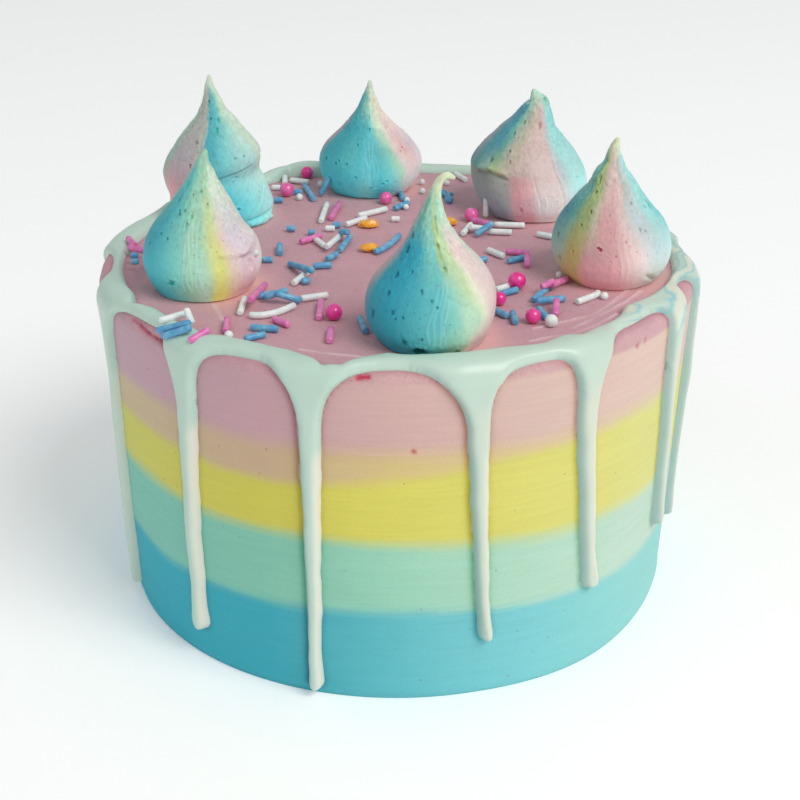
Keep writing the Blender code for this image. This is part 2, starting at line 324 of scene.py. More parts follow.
def mesh_piece(name, points, faces, material, marks):
    """One smooth closed mesh, from points in millimetres, with a value or colour a point for each mark."""
    mesh = bpy.data.meshes.new(name)
    mesh.from_pydata((np.asarray(points) * MM).tolist(), [], faces)
    shape = bmesh.new()
    shape.from_mesh(mesh)
    bmesh.ops.recalc_face_normals(shape, faces=shape.faces)
    shape.to_mesh(mesh)
    shape.free()
    for mark, values in marks.items():
        values = np.asarray(values, dtype=np.float32)
        if values.ndim == 1:
            mesh.attributes.new(mark, "FLOAT", "POINT").data.foreach_set("value", values)
        else:
            colours = np.hstack([values, np.ones((len(values), 1), dtype=np.float32)])
            mesh.attributes.new(mark, "FLOAT_COLOR", "POINT").data.foreach_set("color", colours.ravel())
    mesh.shade_smooth()
    mesh.materials.append(material)
    return add_piece(name, mesh)


def turned_from(degrees, azimuth):
    return (degrees - azimuth + 180.0) % 360.0 - 180.0


def bulge(azimuth, bulges):
    total = np.zeros_like(azimuth)
    for centre, amount, half_width in bulges:
        share = np.minimum(np.abs(turned_from(azimuth, centre)) / half_width, 1.0)
        total += amount * (1.0 + np.cos(np.pi * share)) / 2
    return total


def clipped(share):
    return np.clip(share, 0.0, 1.0)


def eased(share):
    """A smooth step from 0 to 1."""
    share = clipped(share)
    return share * share * (3.0 - 2.0 * share)


def bump(distance, width):
    """1 at no distance, falling off to nearly 0 at twice the width."""
    return np.exp(-((distance / width) ** 2))


def side_radius(azimuth, height):
    base = BASE_RADIUS + bulge(azimuth, BASE_BULGES)
    top = TOP_RADIUS + bulge(azimuth, TOP_BULGES)
    return base + (top - base) * height / CAKE_HEIGHT


def flat_top_radius(azimuth):
    return side_radius(azimuth, CAKE_HEIGHT - SHOULDER_DROP) - SHOULDER_IN


def around(degrees, radius, height):
    """The point at an azimuth, a radius and a height."""
    turn = np.radians(degrees)
    return np.stack([np.sin(turn) * radius, -np.cos(turn) * radius, height], axis=-1)


def coat_points(azimuth, reach, lift):
    """Points over the coat for arrays of azimuth and reach, lifted off it along its normal."""
    steepness = np.pi / 2 * clipped(reach / SHOULDER_LENGTH)
    beyond = np.maximum(reach - SHOULDER_LENGTH, 0.0)
    height = CAKE_HEIGHT - SHOULDER_DROP * (1.0 - np.cos(steepness)) - beyond
    shoulder = flat_top_radius(azimuth) + np.minimum(reach, 0.0) + SHOULDER_IN * np.sin(steepness)
    radius = np.where(beyond > 0.0, side_radius(azimuth, height), shoulder)
    return around(azimuth, radius + lift * np.sin(steepness), height + lift * np.cos(steepness))


def reach_at_height(height):
    return SHOULDER_LENGTH + CAKE_HEIGHT - SHOULDER_DROP - height


def grain(points, size, seed):
    """Soft noise from -1 to 1 at each point, with features of that size or (x, y, z) sizes."""
    shift = Vector((seed, -1.7 * seed, 0.6 * seed))
    scaled = np.asarray(points, float) / np.asarray(size, float)
    values = [noise.noise(Vector(point) + shift) for point in scaled.reshape(-1, 3)]
    return np.array(values).reshape(scaled.shape[:-1])


def ring_turns(columns):
    """Azimuths evenly round the whole circle, from the back."""
    return np.arange(columns) * 360.0 / columns - 180.0


def ring_faces(rows, columns):
    """Quads over a grid of points that are numbered row by row, closed round each row."""
    faces = []
    for here in range(0, (rows - 1) * columns, columns):
        below = here + columns
        for column in range(columns):
            after = (column + 1) % columns
            faces.append((here + column, below + column, below + after, here + after))
    return faces


def fan_faces(centre, row, columns):
    """Triangles that close the ring of points that starts at number row, all meeting at one point."""
    return [(centre, row + column, row + (column + 1) % columns) for column in range(columns)]


def off_line(right, up, start, end):
    """How far places lie from a straight line, and the share of its length that is nearest."""
    line = np.subtract(end, start)
    share = (right - start[0]) * line[0] + (up - start[1]) * line[1]
    share = clipped(share / line.dot(line))
    return np.hypot(right - start[0] - share * line[0], up - start[1] - share * line[1]), share


# The coat.

class Scar(NamedTuple):
    """A torn or scratched line from one place to another, which stands out where its depth is below zero."""
    azimuth: float
    reach: float
    to_azimuth: float
    to_reach: float
    width: float
    depth: float
    redness: float


SCARS = (
    Scar(-56.0, 3.5, -53.5, 3.7, 0.6, 0.5, 0.6),
    Scar(-53.5, 3.7, -50.6, 4.5, 0.9, 0.9, 0.8),
    Scar(-50.6, 4.5, -48.0, 4.9, 0.8, 0.8, 0.7),
    Scar(-48.0, 4.9, -46.2, 4.7, 0.7, 0.8, 0.9),
    Scar(-46.2, 4.7, -44.6, 5.6, 1.0, 1.0, 1.0),
    Scar(-6.3, 3.6, -4.6, 3.3, 0.75, 0.8, 1.3),
    Scar(2.9, 25.6, 3.1, 25.7, 0.55, 0.4, 1.0),
    Scar(47.6, 7.1, 48.0, 6.9, 0.55, 0.4, 0.9),
    Scar(50.1, 6.9, 50.4, 6.6, 0.5, 0.4, 0.9),
)
# Thin raised lines that the spreading knife left on the top, as the photograph's pixels.
KNIFE_LINES = (
    ((532, 329), (563, 322), (595, 314), (612, 303), (628, 290)),
    ((573, 328), (602, 314), (626, 302), (641, 291)),
    ((530, 341), (552, 336.5), (573, 333), (593, 326), (617, 314)),
    ((300, 350), (322, 353), (369, 357.5)),
    ((213, 304), (218, 311), (223, 322)),
)
KNIFE_LINE_WIDTH = 0.5
KNIFE_LINE_RISE = 0.35
# The ring at the foot where the coat stands out, and the one below it where it is pressed in.
FOOT_BEAD = (3.0, 0.9, 0.28)
FOOT_GROOVE = (1.3, 0.7, -0.30)


def coat_relief(points, azimuth, reach):
    """How far the spread coat stands off its plain form, and how red its torn places are."""
    side = clipped((reach - SHOULDER_LENGTH) / 3.0)
    top = clipped(-reach / 4.0)
    shoulder = 1.0 - np.maximum(side, top)
    height = points[..., 2]
    radius = np.hypot(points[..., 0], points[..., 1])
    turn = np.radians(azimuth)
    turned_side = np.stack([np.sin(turn) * 3.0, np.cos(turn) * 3.0, height / 2.4], axis=-1)
    swirled_top = np.stack([np.sin(turn * 0.5) * 5.0, radius / 3.2, np.cos(turn * 0.5) * 5.0], axis=-1)
    lift = 0.30 * grain(points, (38, 38, 46), 3.0)
    for share, amount, places, size, seed in (
        (side, 0.07, turned_side, 1.0, 11.0),
        (side, 0.05, turned_side * (2.3, 2.3, 2.6), 1.0, 23.0),
        (top, 0.13, swirled_top, 1.0, 5.0),
        (top, 0.16, points, 14.0, 8.0),
        (shoulder, 0.22, points, (9, 9, 5), 14.0),
        (shoulder, 0.12, points, (2.6, 2.6, 2.2), 17.0),
    ):
        lift += share * amount * grain(places, size, seed)
    for level, width, rise in (FOOT_BEAD, FOOT_GROOVE):
        lift += side * rise * bump(height - level, width)
    redness = np.zeros_like(lift)
    across = turn * TOP_RADIUS
    for scar in SCARS:
        start = (math.radians(scar.azimuth) * TOP_RADIUS, scar.reach)
        end = (math.radians(scar.to_azimuth) * TOP_RADIUS, scar.to_reach)
        off, _ = off_line(across, reach, start, end)
        cut = bump(off, scar.width * (1.0 + 0.5 * grain(points, 1.6, 31.0)))
        lift -= scar.depth * cut
        redness = np.maximum(redness, np.minimum(scar.redness * cut, 1.0))
    return lift, redness


def knife_marks(points):
    """1 along the knife's lines on the top and 0 away from them."""
    marks = np.zeros(points.shape[:-1])
    for pixels in KNIFE_LINES:
        corners = [on_level(pixel, CAKE_HEIGHT)[:2] for pixel in pixels]
        for start, end in zip(corners[:-1], corners[1:]):
            off, _ = off_line(points[..., 0], points[..., 1], start, end)
            marks = np.maximum(marks, bump(off, KNIFE_LINE_WIDTH))
    broken = eased(0.7 + 1.0 * grain(points, 9.0, 27.0))
    return marks * broken * (points[..., 2] > CAKE_HEIGHT - 1.0)


# Over what distance the icing's edge shades the coat beside it.
SHADE_WIDTH = 1.3


def icing_shade(turns, reach, tree):
    """How much the icing's edge shades the coat beside it, most where the edge is to the right."""
    shade = np.zeros(reach.shape)
    for spot in np.argwhere(reach > ICING_START):
        spot = tuple(spot)
        across = math.radians(turns[spot]) * TOP_RADIUS
        edge, _, away = tree.find((across, reach[spot], 0.0))
        leftward = max(edge.x - across, 0.0) / max(away, 0.01)
        shade[spot] = (0.3 + 0.7 * leftward) * math.exp(-((away / SHADE_WIDTH) ** 2))
    return shade


# How far from a kiss's middle the painted light beside it is full, and how far on it fades.
GLOW_START = 15.5
GLOW_REACH = 5.0


def kiss_glow(points):
    """How much painted light brightens the coat beside the kisses, most at their right."""
    glow = np.zeros(points.shape[:-1])
    for kiss in KISSES:
        right = points[..., 0] - kiss.x
        away = np.hypot(right, points[..., 1] - kiss.y)
        rightward = clipped(right / np.maximum(away, 1.0))
        beside = bump(np.maximum(away - GLOW_START, 0.0), GLOW_REACH)
        glow = np.maximum(glow, beside * (0.35 + 0.65 * rightward))
    return np.where(points[..., 2] > CAKE_HEIGHT - 1.0, glow, 0.0)


def coat_grid():
    """The reach of every point of the coat's mesh, by rows from the middle of the top to the foot."""
    steps = np.arange(1, COAT_TOP_ROWS) / COAT_TOP_ROWS
    shares = COAT_TOP_CROWDING * (1.0 - (1.0 - steps) ** 2) + (1.0 - COAT_TOP_CROWDING) * steps
    top = -flat_top_radius(ring_turns(COAT_COLUMNS)) * (1.0 - shares[:, None])
    shoulder = SHOULDER_LENGTH * np.arange(COAT_SHOULDER_ROWS + 1) / COAT_SHOULDER_ROWS
    side_length = reach_at_height(0.0) - SHOULDER_LENGTH
    side = SHOULDER_LENGTH + side_length * (np.arange(1, COAT_SIDE_ROWS + 1) / COAT_SIDE_ROWS)
    lower = np.concatenate([shoulder, side])[:, None]
    return np.vstack([top, np.repeat(lower, COAT_COLUMNS, axis=1)])


def make_coat(material, tree):
    reach = coat_grid()
    turns = np.broadcast_to(ring_turns(COAT_COLUMNS), reach.shape)
    plain = coat_points(turns, reach, 0.0)
    lift, redness = coat_relief(plain, turns, reach)
    chalk = knife_marks(plain)
    lift += KNIFE_LINE_RISE * chalk
    lift[-1] = -0.5
    points = coat_points(turns, reach, lift)
    points[-1, :, 2] = 0.0
    crown = points.shape[0] * points.shape[1]
    faces = ring_faces(len(reach), COAT_COLUMNS)
    faces += fan_faces(crown, 0, COAT_COLUMNS) + fan_faces(crown + 1, crown - COAT_COLUMNS, COAT_COLUMNS)
    ends = [(0.0, 0.0, points[0, :, 2].mean()), (0.0, 0.0, 0.0)]
    marks = {
        "torn": redness,
        "chalk": chalk,
        "shade": icing_shade(turns, reach, tree),
        "glow": kiss_glow(plain),
    }
    marks = {name: np.append(values, [0.0, 0.0]) for name, values in marks.items()}
    return mesh_piece("coat", np.vstack([points.reshape(-1, 3), ends]), faces, material, marks)


class Band(NamedTuple):
    """A band of the coat: its lower border and its display colours at BAND_STOPS.

    The border is a height for each x, and half the height over which the band below turns into this one.
    """
    border: tuple
    half: float
    shades: tuple

    def across(self, x):
        """The band's colour at a wire's x, with painted shade at the left and painted light at the right."""
        return x.through_colours(BAND_STOPS, [paint(*shade) for shade in self.shades])


# Where along x the bands' colours are given, with painted shade at the left and painted light at the right.
BAND_STOPS = (-80.0, -38.0, 0.0, 40.0, 80.0)
BANDS = (
    Band((), 0,
         ((28, 172, 191), (44, 169, 186), (94, 188, 197), (124, 204, 209), (147, 212, 208))),
    Band(((-71, 29.8), (-34, 29.8), (8, 31.2), (40, 29), (71, 27.2)), 2.6,
         ((126, 200, 182), (130, 198, 175), (156, 212, 186), (176, 215, 192), (194, 219, 202))),
    Band(((-71, 55.2), (-34, 54.2), (8, 53.8), (40, 51.2), (71, 50.4)), 3.4,
         ((211, 209, 98), (211, 202, 79), (218, 210, 95), (219, 213, 111), (218, 217, 134))),
    Band(((-71, 72), (-34, 71), (-8, 74.4), (8, 76), (40, 78.8), (71, 79.8)), 2.6,
         ((208, 187, 151), (202, 172, 141), (217, 193, 130), (218, 197, 147), (218, 206, 162))),
    Band(((-71, 84.5), (-34, 83.2), (8, 82.4), (71, 82.2)), 3.8,
         ((198, 163, 176), (202, 159, 167), (214, 175, 170), (216, 185, 174), (222, 195, 182))),
)
COAT_TOP = paint(202, 156, 165)
COAT_GLOW = paint(240, 190, 186)
CHALK = paint(236, 214, 216)
TORN_RED = paint(190, 58, 84)
# The height above which the coat is the deeper, rougher pink of the top.
TOP_BORDER = 103.9


def coat_finish():
    material, shader, start = new_finish("buttercream", roughness=0.62, subsurface_weight=0.08,
                                         subsurface_scale=0.004)
    place = object_place(start)
    across = along(place, 0)
    height = along(place, 2)
    slow = start.cloud(place, (28, 28, 60), 2.0) - 0.5
    streak = start.cloud(place, (34, 34, 620), 3.0) - 0.5
    fine_streak = start.cloud(place, (60, 60, 1500), 2.0) - 0.5
    level = height + slow * 4.0 + streak * 2.2
    # The bands' own colours, darker at the left as painted shade and paler at the right as painted light.
    side = across + slow * 12.0
    colour = BANDS[0].across(side)
    for band in BANDS[1:]:
        over = level - across.through_stops(band.border)
        colour = over.rise(-band.half, band.half).mix(colour, band.across(side))
    above = height + slow * 3.0 + streak * 1.6 + across * across * 0.0003 - TOP_BORDER
    top = above.rise(-0.9, 0.9)
    flat = height.rise(105.5, 107.4)
    worn = (1.0 - flat) * (0.55 - across.rise(10.0, 60.0) * 0.35)
    colour = (top - top * worn).mix(colour, COAT_TOP)
    sugar = start.cloud(place, (1300, 1300, 1300), 3.0) - 0.5
    mottle = start.cloud(place, (130, 130, 130), 3.0) - 0.5
    tone = 1.0 + streak * 0.10 + fine_streak * 0.06 + slow * 0.08 + sugar * 0.06
    tone = tone + (sugar * 0.22 + mottle * 0.16) * top
    colour = tone.shade(colour)
    # Painted light on the coat's top beside the kisses.
    colour = (start.mark("glow") * 0.75).mix(colour, COAT_GLOW)
    colour = start.mark("shade").mix(colour, colour, "MULTIPLY")
    colour = (start.mark("chalk") * 0.7).mix(colour, CHALK)
    # Small pits in the coat, darkened towards the torn red as painted shade inside them.
    pores = start.specks(place, 420.0, 0.07, 0.14)
    colour = (pores * 0.35).mix(colour, TORN_RED)
    plug(shader, "Base Color", start.mark("torn").mix(colour, TORN_RED))
    matte = start.cloud(place, (900, 900, 900), 2.0)
    plug(shader, "Roughness", 0.52 + matte * 0.22)
    height_field = matte * 0.35 + fine_streak * 0.5 + streak * 0.5 - pores * 0.9 + 0.8
    relief(shader, height_field + sugar * (0.3 + top * 0.9), 0.00022)
    return material


# The drip icing.

def inner_reach(azimuth):
    reach = np.full_like(azimuth, -RIM_REACH)
    for waves, amount, start in RIM_WAVES:
        reach += amount * np.sin(np.radians(waves * azimuth + start))
    for centre, depth, half_width in RIM_NOTCHES:
        share = np.abs(turned_from(azimuth, centre)) / half_width
        reach += depth * np.maximum(1.0 - share, 0.0) ** 1.5
    return reach


def drip_half_width(drip, reach):
    last = drip.last()
    width = drip.neck_width + (drip.top_width - drip.neck_width) * (1.0 - drip.share(reach)) ** NARROWING
    bulb_centre = last - BULB_MIDDLE * drip.bulb_width
    width = width + (drip.bulb_width - drip.neck_width) * bump(reach - bulb_centre, BULB_LENGTH)
    ragged = 0.04 * np.sin(0.29 * reach + drip.root) + 0.025 * np.sin(0.71 * reach + 2.0 * drip.root)
    width = width * (1.0 + ragged * clipped((reach - FUNNEL_REACH) / RAGGED_START))
    left_over = clipped((last - reach) / (BULB_ROUNDING * drip.bulb_width))
    return width / 2 * np.sqrt(1.0 - (1.0 - left_over) ** 2)


def drip_azimuth(drip, reach, across):
    """The azimuth at a reach: of a drip's middle line where across is 0, of its edges where -1 and 1."""
    share = drip.share(reach)
    bow = drip.middle - (drip.root + drip.end) / 2
    centre = drip.root + (drip.end - drip.root) * share + bow * 4 * share * (1 - share)
    sway = 0.12 * np.sin(reach * 0.21 + drip.root) + 0.04 * np.sin(reach * 0.6 + drip.end)
    return centre + sway * share + across * np.degrees(drip_half_width(drip, reach) / TOP_RADIUS)


def arch_reach(azimuth, left, right, arch):
    """How far out and down the icing's lip lies in the arch between two drips' edges."""
    on_left = azimuth < arch.crown
    edge = np.where(on_left, left, right)
    power = np.where(on_left, arch.left, arch.right)
    share = np.clip((azimuth - arch.crown) / (edge - arch.crown), 0.0, 1.0)
    rise = (1.0 - share ** power) ** (1.0 / power)
    return FUNNEL_REACH - (FUNNEL_REACH - arch.reach) * rise


def arch_span(number):
    """The azimuths of the two drip edges that bound an arch, the second one always the larger."""
    following = DRIPS[(number + 1) % len(DRIPS)]
    turn = 360.0 if number == len(DRIPS) - 1 else 0.0
    left = float(drip_azimuth(DRIPS[number], FUNNEL_REACH, 1.0))
    right = float(drip_azimuth(following, FUNNEL_REACH, -1.0)) + turn
    return left, right


def edge_tree():
    """Finds the nearest place on the icing's edges, on the coat laid flat."""
    turns = [np.arange(-180.0, 180.0, RIM_EDGE_STEP)]
    reaches = [inner_reach(turns[0])]
    for number, drip in enumerate(DRIPS):
        reach = np.arange(FUNNEL_REACH, drip.last(), DRIP_EDGE_STEP)
        for side in (-1.0, 1.0):
            turns.append(drip_azimuth(drip, reach, side))
            reaches.append(reach)
        left, right = arch_span(number)
        share = (1.0 - np.cos(np.linspace(0.0, np.pi, ARCH_EDGE_POINTS))) / 2
        azimuth = left + (right - left) * share
        turns.append(azimuth)
        reaches.append(arch_reach(azimuth, left, right, ARCHES[number]))
    turns = np.concatenate(turns)
    reaches = np.concatenate(reaches)
    tree = KDTree(3 * len(turns))
    count = 0
    for whole_turn in (-360.0, 0.0, 360.0):
        for azimuth, reach in zip(turns, reaches):
            tree.insert((math.radians(azimuth + whole_turn) * TOP_RADIUS, reach, 0.0), count)
            count += 1
    tree.balance()
    return tree


def lip_reach(turns):
    """How far down the rim's icing comes: to an arch's lip, or to where a drip begins."""
    lip = np.full_like(turns, FUNNEL_REACH)
    for number, arch in enumerate(ARCHES):
        left, right = arch_span(number)
        over = left + (turns - left) % 360.0
        within = over < right
        lip[within] = arch_reach(over[within], left, right, arch)
    return lip


def under_icing(turns, reaches):
    """Which places of a grid of reaches by azimuths the icing covers."""
    down = reaches[:, None]
    covered = (down > inner_reach(turns)) & (down < lip_reach(turns))
    for drip in DRIPS:
        off = np.abs(turned_from(turns, drip_azimuth(drip, down, 0.0)))
        half = np.degrees(drip_half_width(drip, down) / TOP_RADIUS)
        covered |= (down >= FUNNEL_REACH) & (off < half)
    return covered


def follow_drips(turns, reaches, azimuth, reach, covered, border):
    """Bends the grid's columns below each drip's root so that they run down along the drip.

    Returns how far across its drip each place lies, from -1 at the left edge to 1 at the right.
    """
    across = np.zeros_like(azimuth)
    first = int(np.searchsorted(reaches, FUNNEL_REACH))
    for drip in DRIPS:
        last = drip.last()
        rows = slice(first, int(np.searchsorted(reaches, last)) + 1)
        down = np.minimum(reaches[rows], last - 0.03)[:, None]
        root_half = float(drip_half_width(drip, FUNNEL_REACH))
        off = np.radians(turned_from(turns, drip.root)) * TOP_RADIUS
        edge = np.abs(np.abs(off) - root_half) < 0.5 * ICING_STEP
        columns = np.flatnonzero((np.abs(off) < root_half) | edge)
        place = np.where(edge, np.sign(off), off / root_half)[columns]
        spots = np.ix_(range(rows.start, rows.stop), columns)
        azimuth[spots] = drip_azimuth(drip, down, place)
        reach[spots] = down
        across[spots] = place
        covered[spots] = True
        border[spots] = edge[columns]
        border[rows.stop - 1, columns] = True
    return across


def icing_fullness(turns, reaches):
    """The icing's full depth on the grid, over what width its edge rounds up to it, and its bead's share."""
    down = reaches[:, None]
    sinking = clipped((down - SHOULDER_LENGTH) / FUNNEL_REACH)
    depth = RIM_THICKNESS + (DRIP_THICKNESS - RIM_THICKNESS) * np.repeat(sinking, len(turns), axis=1)
    rounding = np.full_like(depth, EDGE_ROUNDING)
    below = eased((down - FUNNEL_REACH) / BEAD_START)
    for drip in DRIPS:
        last = drip.last()
        half = drip_half_width(drip, down)
        near = np.abs(turned_from(turns, drip_azimuth(drip, down, 0.0))) < DRIP_TURN
        near = near & (down > FUNNEL_REACH) & (down < last + 1.0)
        bulb = (BULB_THICKNESS - DRIP_THICKNESS) * bump(last - down - 3.0, 5.0)
        depth = np.where(near, depth + bulb, depth)
        rounding = np.where(near, rounding + (np.maximum(half, 1.0) - rounding) * below, rounding)
    return depth, rounding, below


def swell(azimuth, reach):
    """Uneven fullness of the poured icing: a full rim at the front and a thick bead at the back left."""
    place = coat_points(azimuth, reach, 0.0)
    amount = 1.0 + 0.22 * grain(place, (17, 17, 26), 41.0) + 0.10 * grain(place, (6, 6, 11), 43.0)
    amount += 0.42 * bump(turned_from(azimuth, 8.0), 12.0) * bump(reach + 3.0, 5.0)
    return amount + 1.15 * bump(turned_from(azimuth, -158.0), 9.0) * bump(reach, 6.0)


def raise_icing(covered, border, distance, across, turns, reaches):
    """How far the icing stands off the coat, how steeply it falls to the right, and its bead's share."""
    depth, rounding, below = icing_fullness(turns, reaches)
    full = covered & ~border
    share = np.minimum(distance / rounding, 1.0)
    sheet = np.sqrt(1.0 - (1.0 - share) ** 3)
    bead = np.sqrt(np.maximum(1.0 - np.abs(across) ** 2.2, 0.0)) * np.sqrt(1.0 - (1.0 - share) ** 6)
    lift = np.where(full, depth * (sheet * (1.0 - below) + bead * below), 0.0)
    for _ in range(SMOOTHINGS):
        beside = sum(np.roll(lift, step, axis) for axis, step in ((0, 1), (0, -1), (1, 1), (1, -1))) / 4
        lift = np.where(full, (lift + beside) / 2, 0.0)
    # The fall to the right marks the icing's left flanks for painted shade.
    fall = (np.roll(lift, -1, 1) - np.roll(lift, 1, 1)) / (2 * ICING_STEP)
    flank = np.clip(fall, 0.0, STEEPEST) / STEEPEST
    return lift, flank, below


def icing_faces(kept, border, centres):
    """Faces between the kept places of the grid, which are numbered row by row."""
    order = np.full(kept.shape, -1)
    order[kept] = np.arange(kept.sum())
    faces = []
    for row, column in np.argwhere(kept[:-1] | kept[1:]):
        after = (column + 1) % kept.shape[1]
        corners = ((row, column), (row + 1, column), (row + 1, after), (row, after))
        spots = [spot for spot in corners if kept[spot]]
        if len(spots) > 2 and (centres[row, column] or not all(border[spot] for spot in spots)):
            faces.append(tuple(int(order[spot]) for spot in spots))
    return faces


def closed_shell(faces, under):
    """Faces, the same faces on the points that many numbers on, and a wall round their open sides."""
    sides = set()
    for face in faces:
        sides.update(zip(face, face[1:] + face[:1]))
    shell = faces + [tuple(corner + under for corner in reversed(face)) for face in faces]
    for start, end in sides:
        if (end, start) not in sides:
            shell.append((end, start, start + under, end + under))
    return shell


def make_drip_icing(material, tree):
    """The icing as a fine grid over the coat, with the grid's border drawn onto the icing's edge."""
    turns = ring_turns(round(math.tau * TOP_RADIUS / ICING_STEP))
    reaches = np.arange(ICING_START, reach_at_height(0.0), ICING_STEP)
    covered = under_icing(turns, reaches)
    near = covered | np.roll(covered, 1, 0) | np.roll(covered, -1, 0)
    near = near | np.roll(near, 1, 1) | np.roll(near, -1, 1)
    azimuth, reach = np.meshgrid(turns, reaches)
    distance = np.zeros_like(azimuth)
    border = np.zeros_like(covered)
    covered &= (reaches < FUNNEL_REACH)[:, None]
    across = follow_drips(turns, reaches, azimuth, reach, covered, border)
    for row, column in np.argwhere(near | covered):
        place = (math.radians(azimuth[row, column]) * TOP_RADIUS, reach[row, column], 0.0)
        edge, _, away = tree.find(place)
        if reaches[row] < FUNNEL_REACH and away < 0.5 * ICING_STEP:
            border[row, column] = True
            azimuth[row, column] = math.degrees(edge.x / TOP_RADIUS)
            reach[row, column] = edge.y
        else:
            distance[row, column] = away
    lift, flank, below = raise_icing(covered, border, distance, across, turns, reaches)

    kept = covered | border
    half_step = ICING_STEP / 2
    centres = under_icing(turns + np.degrees(half_step / TOP_RADIUS), reaches + half_step)
    centres |= (reaches > FUNNEL_REACH - ICING_STEP)[:, None]
    faces = icing_faces(kept, border, centres)
    used = np.unique(np.concatenate([np.array(face) for face in faces]))
    renumbered = np.full(kept.sum(), -1)
    renumbered[used] = np.arange(len(used))
    faces = [tuple(int(renumbered[corner]) for corner in face) for face in faces]
    azimuth = azimuth[kept][used]
    reach = reach[kept][used]
    lift = lift[kept][used] * swell(azimuth, reach)
    points = np.vstack([coat_points(azimuth, reach, lift), coat_points(azimuth, reach, -ICING_SUNK)])
    marks = {"flank": flank, "across": across * below}
    marks = {name: np.tile(values[kept][used], 2) for name, values in marks.items()}
    return mesh_piece("drip_rim", points, closed_shell(faces, len(used)), material, marks)


ICING_MINT = paint(190, 217, 203)
ICING_CREAM = paint(216, 222, 204)
ICING_AQUA = paint(138, 200, 212)
ICING_PALE = paint(232, 230, 212)
ICING_SHADE = paint(150, 186, 182)
# The colour of the painted light on the drips' right parts.
ICING_LIT_SIDE = paint(236, 230, 216)


def icing_finish():
    material, shader, start = new_finish("drip_icing", subsurface_weight=0.10, subsurface_scale=0.003,
                                         coat_weight=0.12, coat_roughness=0.18)
    place = object_place(start)
    across = along(place, 0)
    forward = along(place, 1)
    height = along(place, 2)
    slow = start.cloud(place, (45, 45, 30), 3.0)
    # Mint turning to cream towards the right, less on the rim: partly the icing's own colour, partly painted
    # warm light from the right.
    cream_and_warm_light = (across + slow * 30.0).rise(-25.0, 80.0) * (1 - height.rise(88.0, 103.0) * 0.7)
    colour = cream_and_warm_light.mix(ICING_MINT, ICING_CREAM)
    out = start.maths("SQRT", across * across + forward * forward)
    wave = start.maths("SINE", out * 0.9 + start.cloud(place, (36, 36, 30), 3.0) * 26.0)
    marbled = across.rise(60.0, 72.0) * height.rise(97.0, 103.0)
    colour = (wave.rise(0.1, 0.7) * marbled * 0.7).mix(colour, ICING_PALE)
    line = 1 - abs(wave + 0.35).rise(0.0, 0.5)
    colour = (line * marbled * 0.8).mix(colour, ICING_AQUA)
    # Painted light on each drip's right part, painted shade on its left part and on its left flank.
    beside = start.mark("across")
    lit_share = 0.3 + across.rise(-85.0, -60.0) * 0.5
    colour = (beside.rise(0.0, 0.8) * lit_share).mix(colour, ICING_LIT_SIDE)
    colour = ((0.0 - beside).rise(0.1, 0.9) * 0.5).mix(colour, ICING_SHADE)
    plug(shader, "Base Color", (start.mark("flank") * 0.75).mix(colour, ICING_SHADE))
    plug(shader, "Roughness", 0.3 + slow * 0.14)
    relief(shader, start.cloud(place, (150, 150, 60), 2.0), 0.0002)
    return material


# The meringue kisses.

# The kisses' colours in display values.
KISS_SHADES = {
    "deep": (38, 160, 182), "teal": (64, 170, 184), "steel": (82, 156, 170), "lagoon": (88, 184, 188),
    "turquoise": (84, 194, 206), "aqua": (120, 208, 212), "ice": (162, 218, 214), "sky": (178, 226, 224),
    "fern": (104, 170, 154), "foam": (124, 199, 187), "leaf": (158, 206, 180), "mint": (186, 222, 198),
    "pale": (210, 230, 208), "sage": (164, 192, 176), "lime": (190, 212, 164), "moss": (176, 196, 134),
    "olive": (154, 172, 116), "gold": (198, 178, 114), "straw": (210, 214, 140), "lemon": (224, 218, 120),
    "sand": (194, 188, 162), "ivory": (216, 225, 190), "cream": (228, 228, 204), "peach": (228, 200, 160),
    "shell": (242, 216, 210), "fog": (204, 200, 194), "pearl": (224, 220, 216), "blush": (226, 204, 201),
    "dove": (212, 186, 181), "pink": (227, 184, 183), "rose": (212, 160, 162), "coral": (246, 168, 174),
    "lilac": (218, 208, 218), "mauve": (180, 170, 176), "dusk": (108, 162, 182), "stone": (176, 182, 170),
    "slate": (150, 158, 150), "ash": (140, 148, 158), "silver": (186, 202, 204),
}
TINTS = {name: paint(*shade) for name, shade in KISS_SHADES.items()}


class Ridge(NamedTuple):
    """A thin raised line up a kiss: azimuth, lowest and highest point, degrees of lean a mm, rise."""
    azimuth: float
    low: float
    high: float
    lean: float = 0.0
    rise: float = 0.22


class Pore(NamedTuple):
    """A pit in a kiss's skin: azimuth, height, radius, depth, length over width, and how red it is."""
    azimuth: float
    height: float
    radius: float
    # A pit's depth also sets how much painted shade darkens it.
    depth: float = 0.45
    tall: float = 1.0
    red: float = 0.0


class Kiss(NamedTuple):
    """A kiss: its place, its outline from foot to tip, and the stripes of colour that run up it.

    The outline's points are height, radius and sideways shift. A stripe has a tint and an azimuth at
    each of the kiss's levels, which are heights. A cut is a Scar whose reaches are heights and whose
    redness is how much painted shade darkens it. The glow is how much painted light brightens the
    kiss low down. The seam is the height at the front of the ledge where the upper turn of piping
    rests on the lower.
    """
    x: float
    y: float
    outline: tuple
    levels: tuple
    stripes: tuple
    tip: str
    ridges: tuple
    pores: tuple
    cuts: tuple = ()
    glow: float = 0.0
    seam: float = 0.0


def stripe(tints, *azimuths):
    """A stripe's tints and azimuths from the lowest level to the top, with one for all if one is given."""
    return tints.split(), azimuths


def each_level(values, kiss):
    return list(values) * len(kiss.levels) if len(values) == 1 else values


